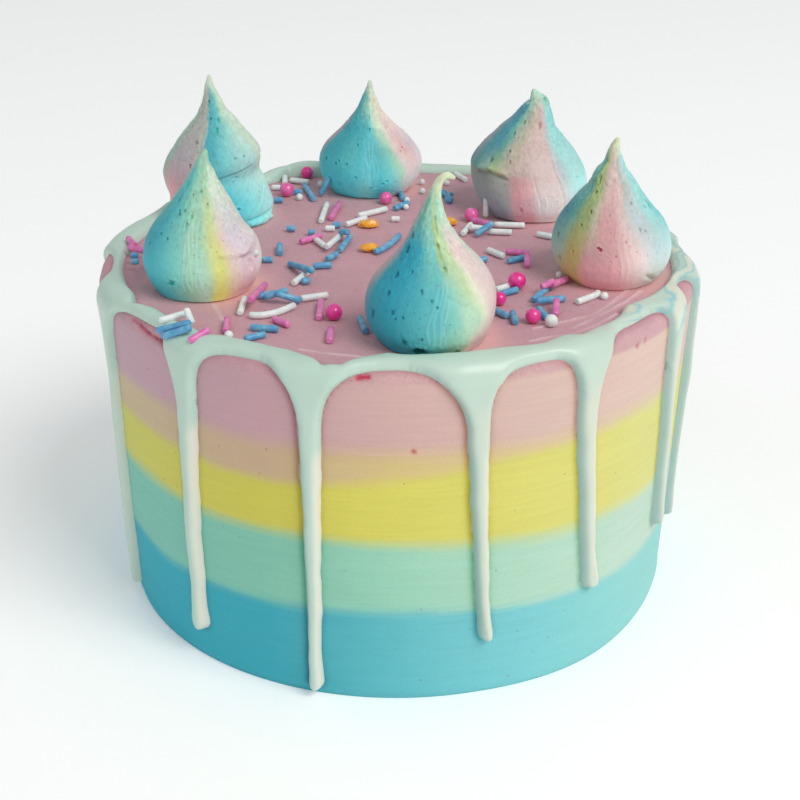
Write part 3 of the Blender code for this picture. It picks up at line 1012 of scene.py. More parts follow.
KISSES = (
    Kiss(
        9.7, -67.6,
        ((0, 14.8, 0), (4, 16.9, -0.2), (9.5, 18, -0.1), (15.5, 17.1, 0.4), (21, 13.6, 1), (27, 8.4, 0.6),
         (33, 4.8, -0.1), (38.8, 2.4, 0.4), (42.5, 1.5, 1), (45.2, 1.05, 2.3), (46.2, 0.95, 3.9),
         (45.6, 0.5, 5.8)),
        (3, 10, 18.5, 28, 37),
        (stripe("dusk dusk mauve mauve mauve", -92, -90, -88, -86, -84),
         stripe("deep deep deep deep sage", -68, -69, -70, -66, -64),
         stripe("deep deep deep deep fern", -40, -39, -38, -40, -40),
         stripe("teal teal teal teal leaf", -24, -23, -22, -24, -24),
         stripe("lagoon lagoon lagoon foam leaf", -4, -5, -6, -10, -12),
         stripe("foam lagoon lagoon foam leaf", 10, 6, 4, 0, -2),
         stripe("leaf foam foam moss moss", 22, 18, 13, 8, 6),
         stripe("mint mint leaf lime lime", 33, 33, 23, 15, 13),
         stripe("cream mint lime lime leaf", 38, 44, 33, 27, 22),
         stripe("blush cream cream blush mint", 47, 53, 44, 38, 44),
         stripe("blush blush blush blush mint", 62, 64, 56, 60, 66),
         stripe("pink pink blush mint pale", 112, 112, 100, 100, 100),
         stripe("lilac lilac lilac lilac pale", 150),
         stripe("pink pink pink pink lilac", -136)),
        tip="ivory",
        ridges=(Ridge(-1, 3, 22, 0.33), Ridge(3.5, 2, 23, 0.28, 0.16), Ridge(8.5, 2, 24, 0.1),
                Ridge(12, 3, 19, 0.16, 0.14)),
        pores=(Pore(-50.7, 21.2, 0.85), Pore(-31.7, 22.6, 0.4), Pore(-13.8, 18.9, 0.5, 0.45, 1.4),
               Pore(-2.6, 16.8, 0.5), Pore(2.9, 15.3, 0.4), Pore(-48, 17, 0.6),
               Pore(-37, 12.6, 0.55, 0.4, 1.5), Pore(-33.4, 11.2, 0.4), Pore(-26, 11.9, 0.4),
               Pore(-63, 9.9, 0.8, 0.45, 1.8), Pore(-8.6, 6.1, 0.5), Pore(-25, 4.6, 0.9, 0.6, 1.4),
               Pore(-61, 30.5, 0.7, 0.4, 1.6), Pore(-58, 27, 0.8, 0.5, 2), Pore(10, 28.6, 0.5, 0.4, 1.6),
               Pore(13, 23.6, 0.5), Pore(-12, 1.6, 1.7, 1.3, 0.8), Pore(27, 1.1, 0.8, 0.9)),
        cuts=(Scar(12, 17.5, 30, 14.4, 0.45, 0.25, 0), Scar(30, 14.4, 48, 15.6, 0.45, 0.25, 0),
              Scar(-17, 1.6, -6, 1.4, 0.9, 1.2, 0.8), Scar(9, 29.2, 13, 23.4, 0.9, 0.4, 0.45),
              Scar(12, 35.6, 15, 31.6, 1, 0.4, 0.4)),
    ),
    Kiss(
        -57.8, -28.8,
        ((0, 14.4, -0.2), (3.5, 16.3, 0), (8.5, 17.6, -0.1), (14, 16.7, -0.2), (19, 13.7, -0.6),
         (24.5, 9.9, 0.2), (30, 6.3, 0.9), (35, 3.4, 1.5), (38.5, 1.8, 1.8), (41.6, 0.7, 2.5)),
        (2.8, 18.7, 33.3),
        (stripe("teal teal foam", -86, -84, -80),
         stripe("teal teal lagoon", -52, -54, -48),
         stripe("lagoon lagoon foam", -33, -38, -30),
         stripe("foam foam leaf", -18, -18, -14),
         stripe("leaf", -5, -6, -4),
         stripe("mint leaf leaf", 8, 8, 6),
         stripe("lime", 15, 15, 14),
         stripe("lemon straw leaf", 21, 20, 22),
         stripe("lemon straw mint", 29, 26, 28),
         stripe("peach blush pale", 38, 36, 36),
         stripe("pink lilac pale", 50, 48, 46),
         stripe("pink lilac pale", 66, 64, 64),
         stripe("shell pearl pale", 88, 84, 84),
         stripe("blush blush pale", 130),
         stripe("pink mauve pale", 180),
         stripe("lilac lilac mint", -126)),
        tip="leaf",
        ridges=(Ridge(-11, 3, 26, 0.05), Ridge(-7, 2, 27, 0, 0.28), Ridge(-3, 2, 26, 0, 0.16),
                Ridge(1.5, 3, 24, 0.05), Ridge(6, 3, 17, 0, 0.16)),
        pores=(Pore(-25, 25.8, 0.45), Pore(-8, 24.6, 0.5, 0.5, 1.8), Pore(-48, 19.2, 0.45),
               Pore(-34, 18.5, 0.5), Pore(-61, 16.2, 0.6), Pore(-24, 6.6, 1.1, 0.9, 0.8),
               Pore(-27, 5.9, 0.8, 0.7, 0.8), Pore(-36, 25.6, 0.35), Pore(-33, 24.8, 0.35),
               Pore(-13, 22.6, 0.5, 0.4, 1.5), Pore(-17, 30, 0.4), Pore(-52, 28, 0.45, 0.4),
               Pore(20, 27.6, 0.35), Pore(5, 31, 0.4, 0.4, 1.5)),
        cuts=(Scar(26, 14.8, 52, 14.4, 1, -0.5, 0), Scar(52, 14.4, 86, 17.5, 1.7, -1.4, 0),
              Scar(60, 11, 63, 8.5, 0.8, 0.5, 0.3)),
        glow=0.35,
    ),
    Kiss(
        -60.3, 36.6,
        ((0, 16.4, 1.2), (4, 17.3, 1.3), (8, 16.7, 0.9), (12, 16.6, -0.5), (16, 16, -1.7),
         (20, 15.5, -0.8), (24, 13.7, 0), (28, 10.8, -0.1), (32, 7.8, 0.2), (36, 4.7, -0.2),
         (40, 2.9, -0.4), (44, 1.5, -0.9), (47.4, 0.55, -0.8)),
        (8, 22, 37),
        (stripe("sage sage pale", -95, -92, -90),
         stripe("rose sage sage", -70, -72, -70),
         stripe("coral mauve stone", -48, -50, -46),
         stripe("rose mauve stone", -28, -26, -26),
         stripe("mauve stone stone", -15, -14, -16),
         stripe("turquoise teal teal", -8, -5, -7),
         stripe("turquoise lagoon lagoon", 8, 6, 3),
         stripe("turquoise aqua lagoon", 24, 20, 14),
         stripe("aqua ice foam", 42, 38, 25),
         stripe("ice sky mint", 64, 58, 42),
         stripe("sky pale pale", 86, 78, 76),
         stripe("mint mint pale", 130),
         stripe("mint aqua pale", 180),
         stripe("sky sage sage", -130)),
        tip="pale",
        ridges=(Ridge(-12, 22, 36, -0.25, 0.2),),
        pores=(Pore(-24.5, 21, 0.55, 0.5, 1.4), Pore(-26, 27.8, 0.7, 0.4), Pore(-57, 31.5, 0.45),
               Pore(-2, 34.4, 0.4), Pore(12, 31, 0.5, 0.4, 1.8), Pore(34, 23, 0.5), Pore(47, 23, 0.45),
               Pore(26.5, 6.6, 0.8, 0.6, 0.7), Pore(37.5, 16.8, 0.6, 0.4, 0.7), Pore(-12, 39.5, 0.4),
               Pore(20, 34, 0.5, 0.4, 2)),
        cuts=(Scar(40, 0.8, 78, 0.6, 1.3, -1.2, 0), Scar(36, 2.4, 80, 3, 0.4, 0.5, 0.4)),
        glow=0.3,
        seam=16.2,
    ),
    Kiss(
        -9.4, 67.2,
        ((0, 13.8, -0.3), (3.2, 16.4, 0), (8, 18, 0.2), (12.7, 17.6, 0.1), (16, 15.6, -0.1),
         (19, 12.9, 0.1), (22.2, 9.5, -0.1), (25.4, 6.5, -0.3), (28.6, 4.2, -0.3), (32, 2.6, -0.2),
         (35, 1.4, -0.1), (37.9, 0.6, 0.1)),
        (4, 17, 24, 30.5),
        (stripe("turquoise mauve mauve dusk", -92, -88, -86, -86),
         stripe("turquoise teal teal lagoon", -76, -68, -64, -64),
         stripe("turquoise teal teal lagoon", -50, -48, -46, -46),
         stripe("turquoise lagoon teal foam", -22, -24, -24, -26),
         stripe("aqua turquoise lagoon leaf", -6, -6, -6, -12),
         stripe("turquoise lagoon aqua mint", 12, 10, 6, 0),
         stripe("aqua foam mint pale", 27, 20, 14, 10),
         stripe("mint leaf pale cream", 41, 29, 22, 20),
         stripe("blush blush cream cream", 52, 37, 31, 32),
         stripe("shell pink blush cream", 68, 50, 46, 46),
         stripe("shell lilac shell cream", 90, 78, 76, 76),
         stripe("mint cream cream cream", 130),
         stripe("sky sky sky mint", 180),
         stripe("aqua pink pink mint", -130)),
        tip="pale",
        ridges=(Ridge(-5, 4, 20, 0), Ridge(-1.5, 3, 22, 0.1), Ridge(2.5, 3, 21, 0.2),
                Ridge(7, 5, 17, 0, 0.16)),
        pores=(Pore(-18.4, 18.6, 0.5), Pore(50, 17, 0.45, 0.3, 1.3, 0.5), Pore(-59, 12.8, 0.5, 0.4, 1.3),
               Pore(-37.5, 13.5, 0.45), Pore(-41, 12.6, 0.4), Pore(-27, 12.9, 0.4), Pore(-16, 8.5, 0.45),
               Pore(-37.5, 5, 0.6, 0.5, 1.8), Pore(-37, 3, 0.5, 0.4, 1.5), Pore(14.4, 6.2, 0.5),
               Pore(19, 7.1, 0.45), Pore(1.4, 4.8, 0.4), Pore(1, 23, 0.3, 0.4, 2.4),
               Pore(2, 26.5, 0.3, 0.3, 1.8)),
        glow=0.55,
    ),
    Kiss(
        45.1, 43,
        ((0, 15.4, 1), (3.5, 17.9, 0.9), (7, 19, 0.4), (10.5, 19.5, -0.2), (14, 19.2, -0.8),
         (17.3, 18.3, -1.5), (20.7, 16.3, -1.5), (24.2, 13.4, -1.5), (27.6, 10.2, -0.7), (31, 7.1, 0.5),
         (34.5, 5.1, 1.3), (37.5, 3.3, 1.5), (39.5, 1.6, 0.8), (41, 0.7, 0.3)),
        (3, 16, 17.2, 24.5, 33),
        (stripe("dusk mauve dusk mauve dusk", -96, -92, -90, -92, -88),
         stripe("ash slate fern steel steel", -72, -70, -68, -70, -66),
         stripe("ash slate sage steel steel", -50, -50, -52, -52, -54),
         stripe("ash stone moss fern foam", -35, -38, -40, -38, -45),
         stripe("mauve stone sand stone sage", -27, -26, -28, -29, -34),
         stripe("coral rose dove sand stone", -18, -16, -16, -17, -20),
         stripe("coral pink dove dove sand", -4, -4, -4, -4, -6),
         stripe("shell blush blush dove dove", 7, 6, 6, 6, 6),
         stripe("blush blush blush dove dove", 24, 26, 26, 23, 18),
         stripe("pearl silver silver silver silver", 38, 36, 36, 34, 28),
         stripe("sky sky sky ice ice", 52, 48, 48, 44, 38),
         stripe("sky ice ice ice aqua", 92, 90, 90, 90, 86),
         stripe("mint", 150),
         stripe("aqua aqua aqua aqua foam", -140)),
        tip="mint",
        ridges=(Ridge(29, 3, 26, -0.1, -0.25), Ridge(32, 3, 24, -0.1, 0.2), Ridge(4, 3, 19, 0, -0.2),
                Ridge(10, 2, 12, 0, 0.2)),
        pores=(Pore(-48, 20.3, 0.6, 0.5, 1.6), Pore(-23.6, 20.8, 0.45, 0.4, 1.5), Pore(-27.7, 23.5, 0.4),
               Pore(56, 14.3, 0.5), Pore(-36, 28, 0.5, 0.4), Pore(-30, 31, 0.5, 0.4, 1.5),
               Pore(-14, 5, 0.6, 0.5, 1.8), Pore(60, 37.6, 1, 0.9, 0.6), Pore(78, 37.2, 0.9, 0.9, 0.6),
               Pore(14, 31, 0.5, 0.4, 2.2)),
        cuts=(Scar(-62, 15.6, -44, 16.7, 0.6, 0.5, 0.3), Scar(-44, 16.7, -25, 15.4, 0.6, 0.6, 0.3),
              Scar(-60, 17.4, -44, 18.4, 1.1, -0.8, 0), Scar(-44, 18.4, -27, 17.4, 1.1, -0.8, 0)),
        glow=0.5,
    ),
    Kiss(
        65.2, -19.6,
        ((0, 13.8, 0.3), (3.6, 16.4, 0.2), (9, 17.9, 0), (14.2, 17.3, -0.3), (17.8, 15.8, -0.4),
         (21.3, 13.1, -0.8), (25, 10.2, -0.8), (28.4, 7.5, -0.5), (32, 5.4, -1), (35.5, 3.1, -0.7),
         (39, 1.8, -0.8), (42.4, 0.7, 0.1)),
        (4, 11, 21, 31.5),
        (stripe("sage foam steel leaf", -96, -92, -90, -90),
         stripe("sand sage steel foam", -80, -78, -76, -74),
         stripe("gold sage fern fern", -68, -64, -60, -60),
         stripe("gold gold olive moss", -57, -51, -47, -48),
         stripe("gold gold olive moss", -46, -41, -37, -36),
         stripe("coral rose sand sand", -35, -31, -27, -26),
         stripe("coral rose rose dove", -20, -17, -16, -13),
         stripe("coral rose rose dove", -5, -4, -4, -2),
         stripe("pink pink dove dove", 10, 10, 8, 8),
         stripe("blush blush silver stone", 26, 25, 23, 20),
         stripe("fog silver silver silver", 42, 40, 38, 34),
         stripe("fog silver ice ice", 62, 57, 52, 50),
         stripe("sky sky aqua ice", 92, 90, 90, 86),
         stripe("mint mint mint pale", 145),
         stripe("aqua turquoise turquoise mint", -140)),
        tip="ivory",
        ridges=(Ridge(2, 4, 22, 0.05, 0.12), Ridge(8, 3, 24, 0.06, 0.14), Ridge(14, 6, 22, 0.1, 0.1)),
        pores=(Pore(-19.6, 14, 0.5, 0.5, 1, 0.9), Pore(-17.4, 13.6, 0.55, 0.5, 0.9, 0.9),
               Pore(-2.3, 12, 0.45, 0.15, 1, 0.4), Pore(18, 13.1, 0.35, 0.15, 1, 0.4),
               Pore(8, 16, 0.4, 0.15, 1.4, 0.4), Pore(12, 14.8, 0.3, 0.12, 1.4, 0.4),
               Pore(-43, 19.3, 0.45), Pore(-36.6, 22.9, 0.4, 0.45, 1.4), Pore(-44, 27.7, 0.45),
               Pore(-44, 31.2, 0.45, 0.5, 2.2), Pore(30, 25.3, 0.45), Pore(27, 18.9, 0.5, 0.4, 1.4),
               Pore(33, 18.2, 0.4), Pore(71, 23.4, 0.9, 0.5, 1.3), Pore(-65, 7.9, 0.6, 0.45, 1.8),
               Pore(-46, 11.5, 0.45), Pore(-72, 14.4, 0.6, 0.4, 1.6), Pore(56, 23.5, 0.4)),
        cuts=(Scar(32, 4.8, 48, 2.2, 0.6, 0.9, 0.8),),
        glow=0.3,
    ),
)
KISS_COLUMNS = 420
KISS_ROWS = 210
KISS_FOOT = CAKE_HEIGHT + 0.3
# How much a kiss's rows crowd towards its foot and tip.
KISS_CROWDING = 0.06
# The least radius of a kiss's tip, and the rounded cap on it.
TIP_RADIUS = 0.35
TIP_CAP = 0.45
# From what share of its height a kiss's tip leans over, and over what share.
CURL_START = 0.62
CURL_SHARE = 0.3
# From what share of its height a kiss has its tip's tint, and over what share.
TIP_START = 0.84
TIP_SHARE = 0.15
# Up to what share of its height a kiss is painted lighter, over what share that fades, and its brightest
# value.
GLOW_TOP = 0.45
GLOW_FADE = 0.3
BRIGHTEST = 0.94
# The radius at which a cut's azimuths are turned into millimetres.
CUT_RADIUS = 17.0
# How far a seam climbs for each degree to the right, and the azimuths between which it shows.
SEAM_CLIMB = 0.055
SEAM_START = -45.0
SEAM_END = 130.0
SMALL_PORES = 34
RIDGE_HALF_WIDTH = 0.32
GLOW_TINT = np.array([0.65, 1.0, 1.0])


def through(points, shares):
    """A smooth curve through points, read at shares of its length."""
    points = np.asarray(points, float)
    steps = np.linalg.norm(np.diff(points, axis=0), axis=1)
    gone = np.concatenate([[0.0], np.cumsum(steps)]) / steps.sum()
    slopes = np.gradient(points, gone, axis=0)
    place = np.clip(np.searchsorted(gone, shares, side="right") - 1, 0, len(points) - 2)
    width = (gone[place + 1] - gone[place])[:, None]
    local = ((shares - gone[place])[:, None]) / width
    first = points[place]
    second = points[place + 1]
    curve = first * (1 + 2 * local) * (1 - local) ** 2 + second * local ** 2 * (3 - 2 * local)
    curve += slopes[place] * width * local * (1 - local) ** 2
    curve -= slopes[place + 1] * width * local ** 2 * (1 - local)
    return curve


def crumbliness(kiss, height):
    """How crumbly the skin is: least at the belly, most towards the tip."""
    tall = kiss.outline[-1][0]
    return np.clip((height - 0.30 * tall) / (0.32 * tall), 0.12, 1.0)


def ridge_marks(number, ridge, degrees, height, radius):
    """1 along a ridge and 0 away from it."""
    middle = (ridge.low + ridge.high) / 2
    wave = 1.6 * np.sin(height * 0.33 + number) + 0.7 * np.sin(height * 0.61 + ridge.azimuth)
    line = ridge.azimuth + ridge.lean * (height - middle) + wave
    off = np.radians(turned_from(degrees, line)) * radius
    window = eased((height - ridge.low) / 3.0) * eased((ridge.high - height) / 4.0)
    return window * bump(off, RIDGE_HALF_WIDTH)


def rest_upper_turn(kiss, degrees, height, skin, seed, lift, painted_shade):
    """Raises the upper turn of piping over the lower, which is slanted and creased below the seam."""
    window = eased((degrees - SEAM_START) / 25.0) * eased((SEAM_END - degrees) / 25.0)
    over = height - kiss.seam - SEAM_CLIMB * degrees - 0.25 * grain(skin, (4, 4, 4), seed + 8)
    lift += window * 0.5 * eased(over / 0.8) * eased((9.0 - over) / 8.0)
    # The groove under the seam is darkened with painted shade.
    groove = 0.15 * (window * bump(over, 0.3))
    lift -= groove
    painted_shade[:] = np.maximum(painted_shade, groove)
    slanted = np.stack([degrees / 40.0, (height - 0.20 * degrees) / 1.1, degrees * 0.0], axis=-1)
    lift += window * 0.18 * eased(-over / 1.0) * grain(slanted, 1.0, seed + 9)


def all_pores(number, kiss):
    """The kiss's own pores and many small ones at random places."""
    shuffle = random.Random(100 + number)
    small = []
    for _ in range(SMALL_PORES):
        small.append(Pore(shuffle.uniform(-180, 180), shuffle.uniform(3, 26), shuffle.uniform(0.18, 0.32),
                          shuffle.uniform(0.1, 0.22), shuffle.uniform(0.8, 1.8)))
    return kiss.pores + tuple(small)


def kiss_relief(number, kiss, degrees, height, radius):
    """How far the skin stands off its outline, its painted shade, how red its pits are, how pale its ridges.
    """
    turn = np.radians(degrees)
    skin = around(degrees, radius, height)
    brushed = np.stack([np.sin(turn) * 11.0, np.cos(turn) * 11.0, height / 26.0], axis=-1)
    seed = 7.0 * number
    fade = clipped(radius / 9.0)
    crumbly = crumbliness(kiss, height) * np.clip(radius / 3.0, 0.6, 1.0)
    lift = np.zeros(degrees.shape)
    for share, amount, places, size, step in (
        (fade, 0.42, skin, (13, 13, 16), 0),
        (fade, 0.10, skin, (3.5, 3.5, 9.0), 3),
        (fade, 0.08, brushed, 1.0, 5),
        (crumbly, 0.20, skin, (1.3, 1.3, 1.9), 6),
        (crumbly, 0.13, skin, (0.7, 0.7, 1.0), 10),
    ):
        lift += share * amount * grain(places, size, seed + step)
    pale = np.zeros_like(lift)
    painted_shade = np.zeros_like(lift)
    red = np.zeros_like(lift)
    for ridge in kiss.ridges:
        raised = ridge_marks(number, ridge, degrees, height, radius)
        lift += ridge.rise * raised
        pale = np.maximum(pale, raised if ridge.rise > 0.0 else 0.0)
    if kiss.seam:
        rest_upper_turn(kiss, degrees, height, skin, seed, lift, painted_shade)
    for pore in all_pores(number, kiss):
        across = np.radians(turned_from(degrees, pore.azimuth)) * radius
        distance = np.hypot(across, (height - pore.height) / pore.tall)
        near = distance < 3.0 * pore.radius
        ragged = pore.radius * (0.85 + 0.55 * grain(skin[near], 0.8, pore.azimuth))
        away = distance[near] / ragged
        pit = eased((1.3 - away) / 0.7)
        lift[near] += pore.depth * (0.25 * bump(away - 1.6, 0.3) - pit)
        # Pits are darkened with painted shade.
        painted_shade[near] = np.maximum(painted_shade[near], min(1.0, 2.2 * pore.depth) * pit)
        red[near] = np.maximum(red[near], pore.red * pit)
    for cut in kiss.cuts:
        start = (math.radians(cut.azimuth) * CUT_RADIUS, cut.reach)
        end = (math.radians(cut.to_azimuth) * CUT_RADIUS, cut.to_reach)
        off, share = off_line(turn * CUT_RADIUS, height, start, end)
        narrow = cut.width * (0.75 + 0.5 * np.sin(np.pi * share)) * (1.0 + 0.3 * grain(skin, 1.4, 33.0))
        line_cut = bump(off, narrow)
        lift -= cut.depth * line_cut
        # On a kiss a cut's redness is how much painted shade darkens it.
        painted_shade = np.maximum(painted_shade, cut.redness * line_cut)
    wavy_foot = clipped(1.0 - height / 3.0)
    lift += wavy_foot * 0.5 * grain(skin, (5, 5, 40), seed + 9)
    return lift, painted_shade, red, pale


def striped(kiss, places, levels):
    """The colour of the stripes at each azimuth of the rows at the levels given."""
    centres = []
    tints = []
    for words, azimuths in kiss.stripes:
        centres.append(np.interp(levels, kiss.levels, each_level(azimuths, kiss)))
        parts = np.array([TINTS[word][:3] for word in each_level(words, kiss)]).T
        tints.append([np.interp(levels, kiss.levels, part) for part in parts])
    centres = np.array(centres)
    tints = np.array(tints)
    shown = np.zeros((*places.shape, 3))
    for row, part in np.ndindex(len(levels), 3):
        shown[row, :, part] = np.interp(places[row], centres[:, row], tints[:, part, row], period=360.0)
    return shown


def blended(colours, other, share):
    share = share[..., None]
    return colours * (1.0 - share) + other * share


def kiss_colours(number, kiss, degrees, height, radius, painted_shade, red, pale):
    """The skin's colour from the stripes on its two sides, its painted light and shade, pits and ridges."""
    skin = around(degrees, radius, height)
    crumbly = crumbliness(kiss, height)
    wander = 0.5 * grain(skin, (3.0, 3.0, 14.0), 50.0 + number)
    wander += (0.12 + 0.5 * crumbly) * grain(skin, (0.9, 0.9, 2.6), 60.0 + number)
    shown = striped(kiss, degrees + np.degrees(wander / np.maximum(radius, 3.0)), height[:, 0])
    tall = height.max()
    tip = eased((height + 1.5 * wander - TIP_START * tall) / (TIP_SHARE * tall))
    shown = blended(shown, np.array(TINTS[kiss.tip][:3]), tip)
    # Painted light: the lower part of the kiss is made brighter.
    glow = kiss.glow * eased((GLOW_TOP - height / tall) / GLOW_FADE)
    shown = np.minimum(shown * (1.0 + glow[..., None] * GLOW_TINT), BRIGHTEST)
    crumbs = grain(skin, (1.1, 1.1, 1.5), 70.0 + number)
    shown = shown * (1.0 + (0.04 + 0.12 * crumbly) * crumbs)[..., None]
    shown = blended(shown, np.sqrt(shown), 0.30 * pale)
    # Painted shade in the pits, the cuts and the seam's crease.
    shown = blended(shown, shown ** 1.9, 0.8 * painted_shade)
    return blended(shown, np.array(TORN_RED[:3]), red)


def make_kiss(number, kiss, material):
    shares = np.linspace(0.0, 1.0, KISS_ROWS)
    shares = shares + KISS_CROWDING * np.sin(2 * np.pi * shares) / (2 * np.pi)
    height, radius, shift = through(kiss.outline, shares).T
    slope = np.gradient(shift) / np.maximum(np.hypot(np.gradient(height), np.gradient(shift)), 1e-6)
    lean = np.arcsin(np.clip(slope, -1.0, 1.0))
    lean = np.where(np.gradient(height) < 0, np.pi - lean, lean)
    lean = lean * clipped((height - CURL_START * height.max()) / (CURL_SHARE * height.max()))
    degrees, heights = np.meshgrid(ring_turns(KISS_COLUMNS), height)
    radii = np.broadcast_to(radius[:, None], degrees.shape)
    lift, painted_shade, red, pale = kiss_relief(number, kiss, degrees, heights, radii)
    colours = kiss_colours(number, kiss, degrees, heights, radii, painted_shade, red, pale)
    skin = np.maximum(radii + lift, TIP_RADIUS)
    sideways = np.sin(np.radians(degrees)) * skin
    forward = -np.cos(np.radians(degrees)) * skin
    tilt = lean[:, None]
    points = np.stack([
        kiss.x + shift[:, None] + sideways * np.cos(tilt),
        kiss.y + forward,
        KISS_FOOT + heights - sideways * np.sin(tilt),
    ], axis=-1)
    faces = [face[::-1] for face in ring_faces(KISS_ROWS, KISS_COLUMNS)]
    tip = KISS_ROWS * KISS_COLUMNS
    faces += fan_faces(tip, tip - KISS_COLUMNS, KISS_COLUMNS) + fan_faces(tip + 1, 0, KISS_COLUMNS)
    tip_point = points[-1].mean(axis=0) + TIP_CAP * np.array([np.sin(lean[-1]), 0.0, np.cos(lean[-1])])
    foot_point = (kiss.x + shift[0], kiss.y, KISS_FOOT)
    flat = np.vstack([points.reshape(-1, 3), tip_point, foot_point])
    tints = np.vstack([colours.reshape(-1, 3), colours[-1].mean(axis=0), colours[0].mean(axis=0)])
    return mesh_piece("kiss_%d" % number, flat, faces, material, {"tint": tints})


def meringue_finish():
    material, shader, start = new_finish("meringue", subsurface_weight=0.10, subsurface_scale=0.003)
    place = object_place(start)
    fine = start.cloud(place, (1500, 1500, 800), 3.0)
    dust = start.cloud(place, (650, 650, 420), 3.0)
    tone = 1.0 + (dust - 0.5) * 0.16 + (fine - 0.5) * 0.10
    plug(shader, "Base Color", tone.shade(start.mark("tint", 0)))
    plug(shader, "Roughness", 0.5 + dust * 0.24)
    pin_holes = start.specks(place, 620.0, 0.25, 0.2)
    relief(shader, dust * 0.5 + fine * 0.5 - pin_holes * 0.7 + 0.7, 0.00030)
    return material


# Sugar sprinkles on the top, placed by the photograph's pixels.

ROD_RADIUS = 1.0
ROD_END = 0.25
# How much of its width a rod keeps at its rounded ends.
ROD_END_WIDTH = 0.72
# How high a rod's middle lies above the rim's icing, and how far back a standing one leans.
ROD_SEAT = 0.9
ROD_LEAN = 0.6
# How near in radii two rods' middle lines may come, the gap that one is then raised to, and a spare.
ROD_CLASH = 1.85
ROD_GAP = 1.9
ROD_SPARE = 0.35
TOP_LEVEL = CAKE_HEIGHT + 0.1

# Each rod is the pixels of its two ends, with its middle between them where it is curved.
WHITE_RODS = (
    ((284.8, 177), (284.8, 183)), ((291, 180), (308, 182)), ((272.5, 187.6), (280, 187.6)),
    ((321, 221), (327, 204)), ((392, 219), (399, 219)), ((359, 215.6), (386, 209)),
    ((346.6, 224.5), (365.7, 218)), ((326, 228.4), (334, 228.4)), ((316.7, 240), (324.4, 246)),
    ((327, 246.7), (342.8, 233.5)), ((293.8, 283), (308.8, 271)), ((302, 298.5), (327, 295)),
    ((240, 312.6), (244.5, 298.5)), ((250.4, 315), (271.3, 313.8), (293.8, 305.4)),
    ((454.7, 173.5), (465.5, 180)), ((495.3, 224.5), (524, 225.3)), ((489.7, 231.4), (511, 232.2)),
    ((463, 233.5), (470.6, 224.5)), ((471, 227), (482, 228.4)), ((538, 234), (552, 236.8)),
    ((488.4, 250), (503, 256)), ((496.8, 289.6), (509.6, 285.8)), ((577.7, 301.8), (598, 294.2)),
)
BLUE_RODS = (
    ((304.5, 185), (313.4, 199)), ((294.5, 192), (301.5, 192)), ((275, 200), (282, 200)),
    ((399, 189.6), (403.5, 199)), ((395, 208), (407.8, 203)), ((287.5, 228.4), (294.5, 228.4)),
    ((309, 232), (314, 232)), ((333, 225), (340, 225)), ((340.5, 232), (347.5, 232)),
    ((340, 250), (350, 237)), ((327.4, 259), (336.4, 254)), ((279.7, 245), (279.7, 253)),
    ((263, 259.7), (272, 259.7)), ((290, 264), (312, 270.5)), ((314, 266), (331, 264.8)),
    ((303, 281.5), (309, 280)), ((375.4, 251.8), (388, 245.5), (398.9, 235.5)),
    ((258.6, 296), (273.9, 293.4)), ((265, 297), (287, 290.4)), ((276.4, 293.4), (299.9, 300.3)),
    ((251.4, 327.3), (277.2, 329)), ((245.8, 338.6), (264.4, 334.2)), ((359.8, 317.7), (365.7, 331)),
    ((476.4, 234.2), (492.2, 223.3)), ((508.3, 261), (525.4, 257.2)), ((480, 260), (486, 259)),
    ((502.4, 293.4), (517, 289.6)), ((496.8, 311), (506.8, 315.6)), ((512.7, 312.6), (515.2, 322)),
    ((538.7, 308.7), (546.3, 317.7)), ((533.8, 299.8), (548.9, 285.8)), ((536.9, 300.6), (563.7, 298.5)),
)
PINK_RODS = (
    ((331, 218), (339.7, 203)), ((301, 241.6), (320.6, 235.5)), ((250.4, 299.8), (265, 284.5)),
    ((321, 301), (319, 317.7)), ((274, 319), (288, 324.8)), ((227.4, 319), (225.4, 331)),
    ((330.8, 329), (329.2, 340.6)), ((473, 220), (492, 224.5)), ((506.8, 251.3), (528, 253)),
    ((527.4, 255), (527.4, 266)), ((556.5, 300.3), (555.5, 314.6)), ((542, 286.5), (553.5, 281.4)),
    ((552.2, 284.5), (567.5, 279)),
)
# These stand against a kiss, lower end first.
STANDING_WHITE_RODS = (((485.4, 215.6), (486.4, 199)),)
STANDING_BLUE_RODS = (((321, 194), (328.7, 178)),)
# These lie on the rim's icing at the left.
RIM_WHITE_RODS = (
    ((160.4, 320.7), (186.6, 313)), ((186.6, 310), (191.7, 322.8)),
)
RIM_BLUE_RODS = (
    ((157.8, 330.4), (189.2, 322.8)), ((163, 336.3), (189.7, 328)), ((131.3, 255.5), (137.3, 255.5)),
    ((132, 261.5), (138, 261.5)),
)
RIM_PINK_RODS = (
    ((190, 340.6), (208.3, 330)), ((128.5, 238.6), (134.8, 245)), ((129.2, 247), (143.3, 250.8)),
)

# Sugar pearls: pixel and width in pixels.
MAGENTA_PEARLS = (
    (307, 172.5, 12), (334, 312, 17), (517, 280.7, 18), (533, 316, 15.5), (499.4, 298.5, 14),
)
ROSE_PEARLS = (
    (286.6, 189.6, 14), (386, 198, 12.5), (471.3, 214.8, 14),
)
WHITE_PEARLS = (
    (321, 184, 7), (299.4, 197, 7), (228.7, 335, 9), (407, 200, 6), (406, 207, 6), (422, 182, 6),
    (422.6, 191, 6), (446.8, 183, 6), (559.3, 274.8, 7), (597.6, 293, 6.5), (604.5, 296, 8),
    (551.4, 320.7, 13),
)
BLUE_CRUMBS = (
    (444, 193.5, 7.5), (449, 199.5, 8.5), (447.5, 196, 6.5), (451.5, 193.5, 4),
)
# This pearl is stuck to the side of a kiss: its centre and radius in millimetres.
STUCK_PEARL = ((-41.3, -34.3, 119.9), 0.95)
# How much of its radius a pearl's middle stands above the top.
PEARL_SEAT = 0.92
# Each crystal: pixel, width and height in pixels.
AMBER_CRYSTALS = (
    (368.8, 223.3, 21, 12), (369.5, 247.5, 20, 11), (450, 221.5, 14, 11),
)
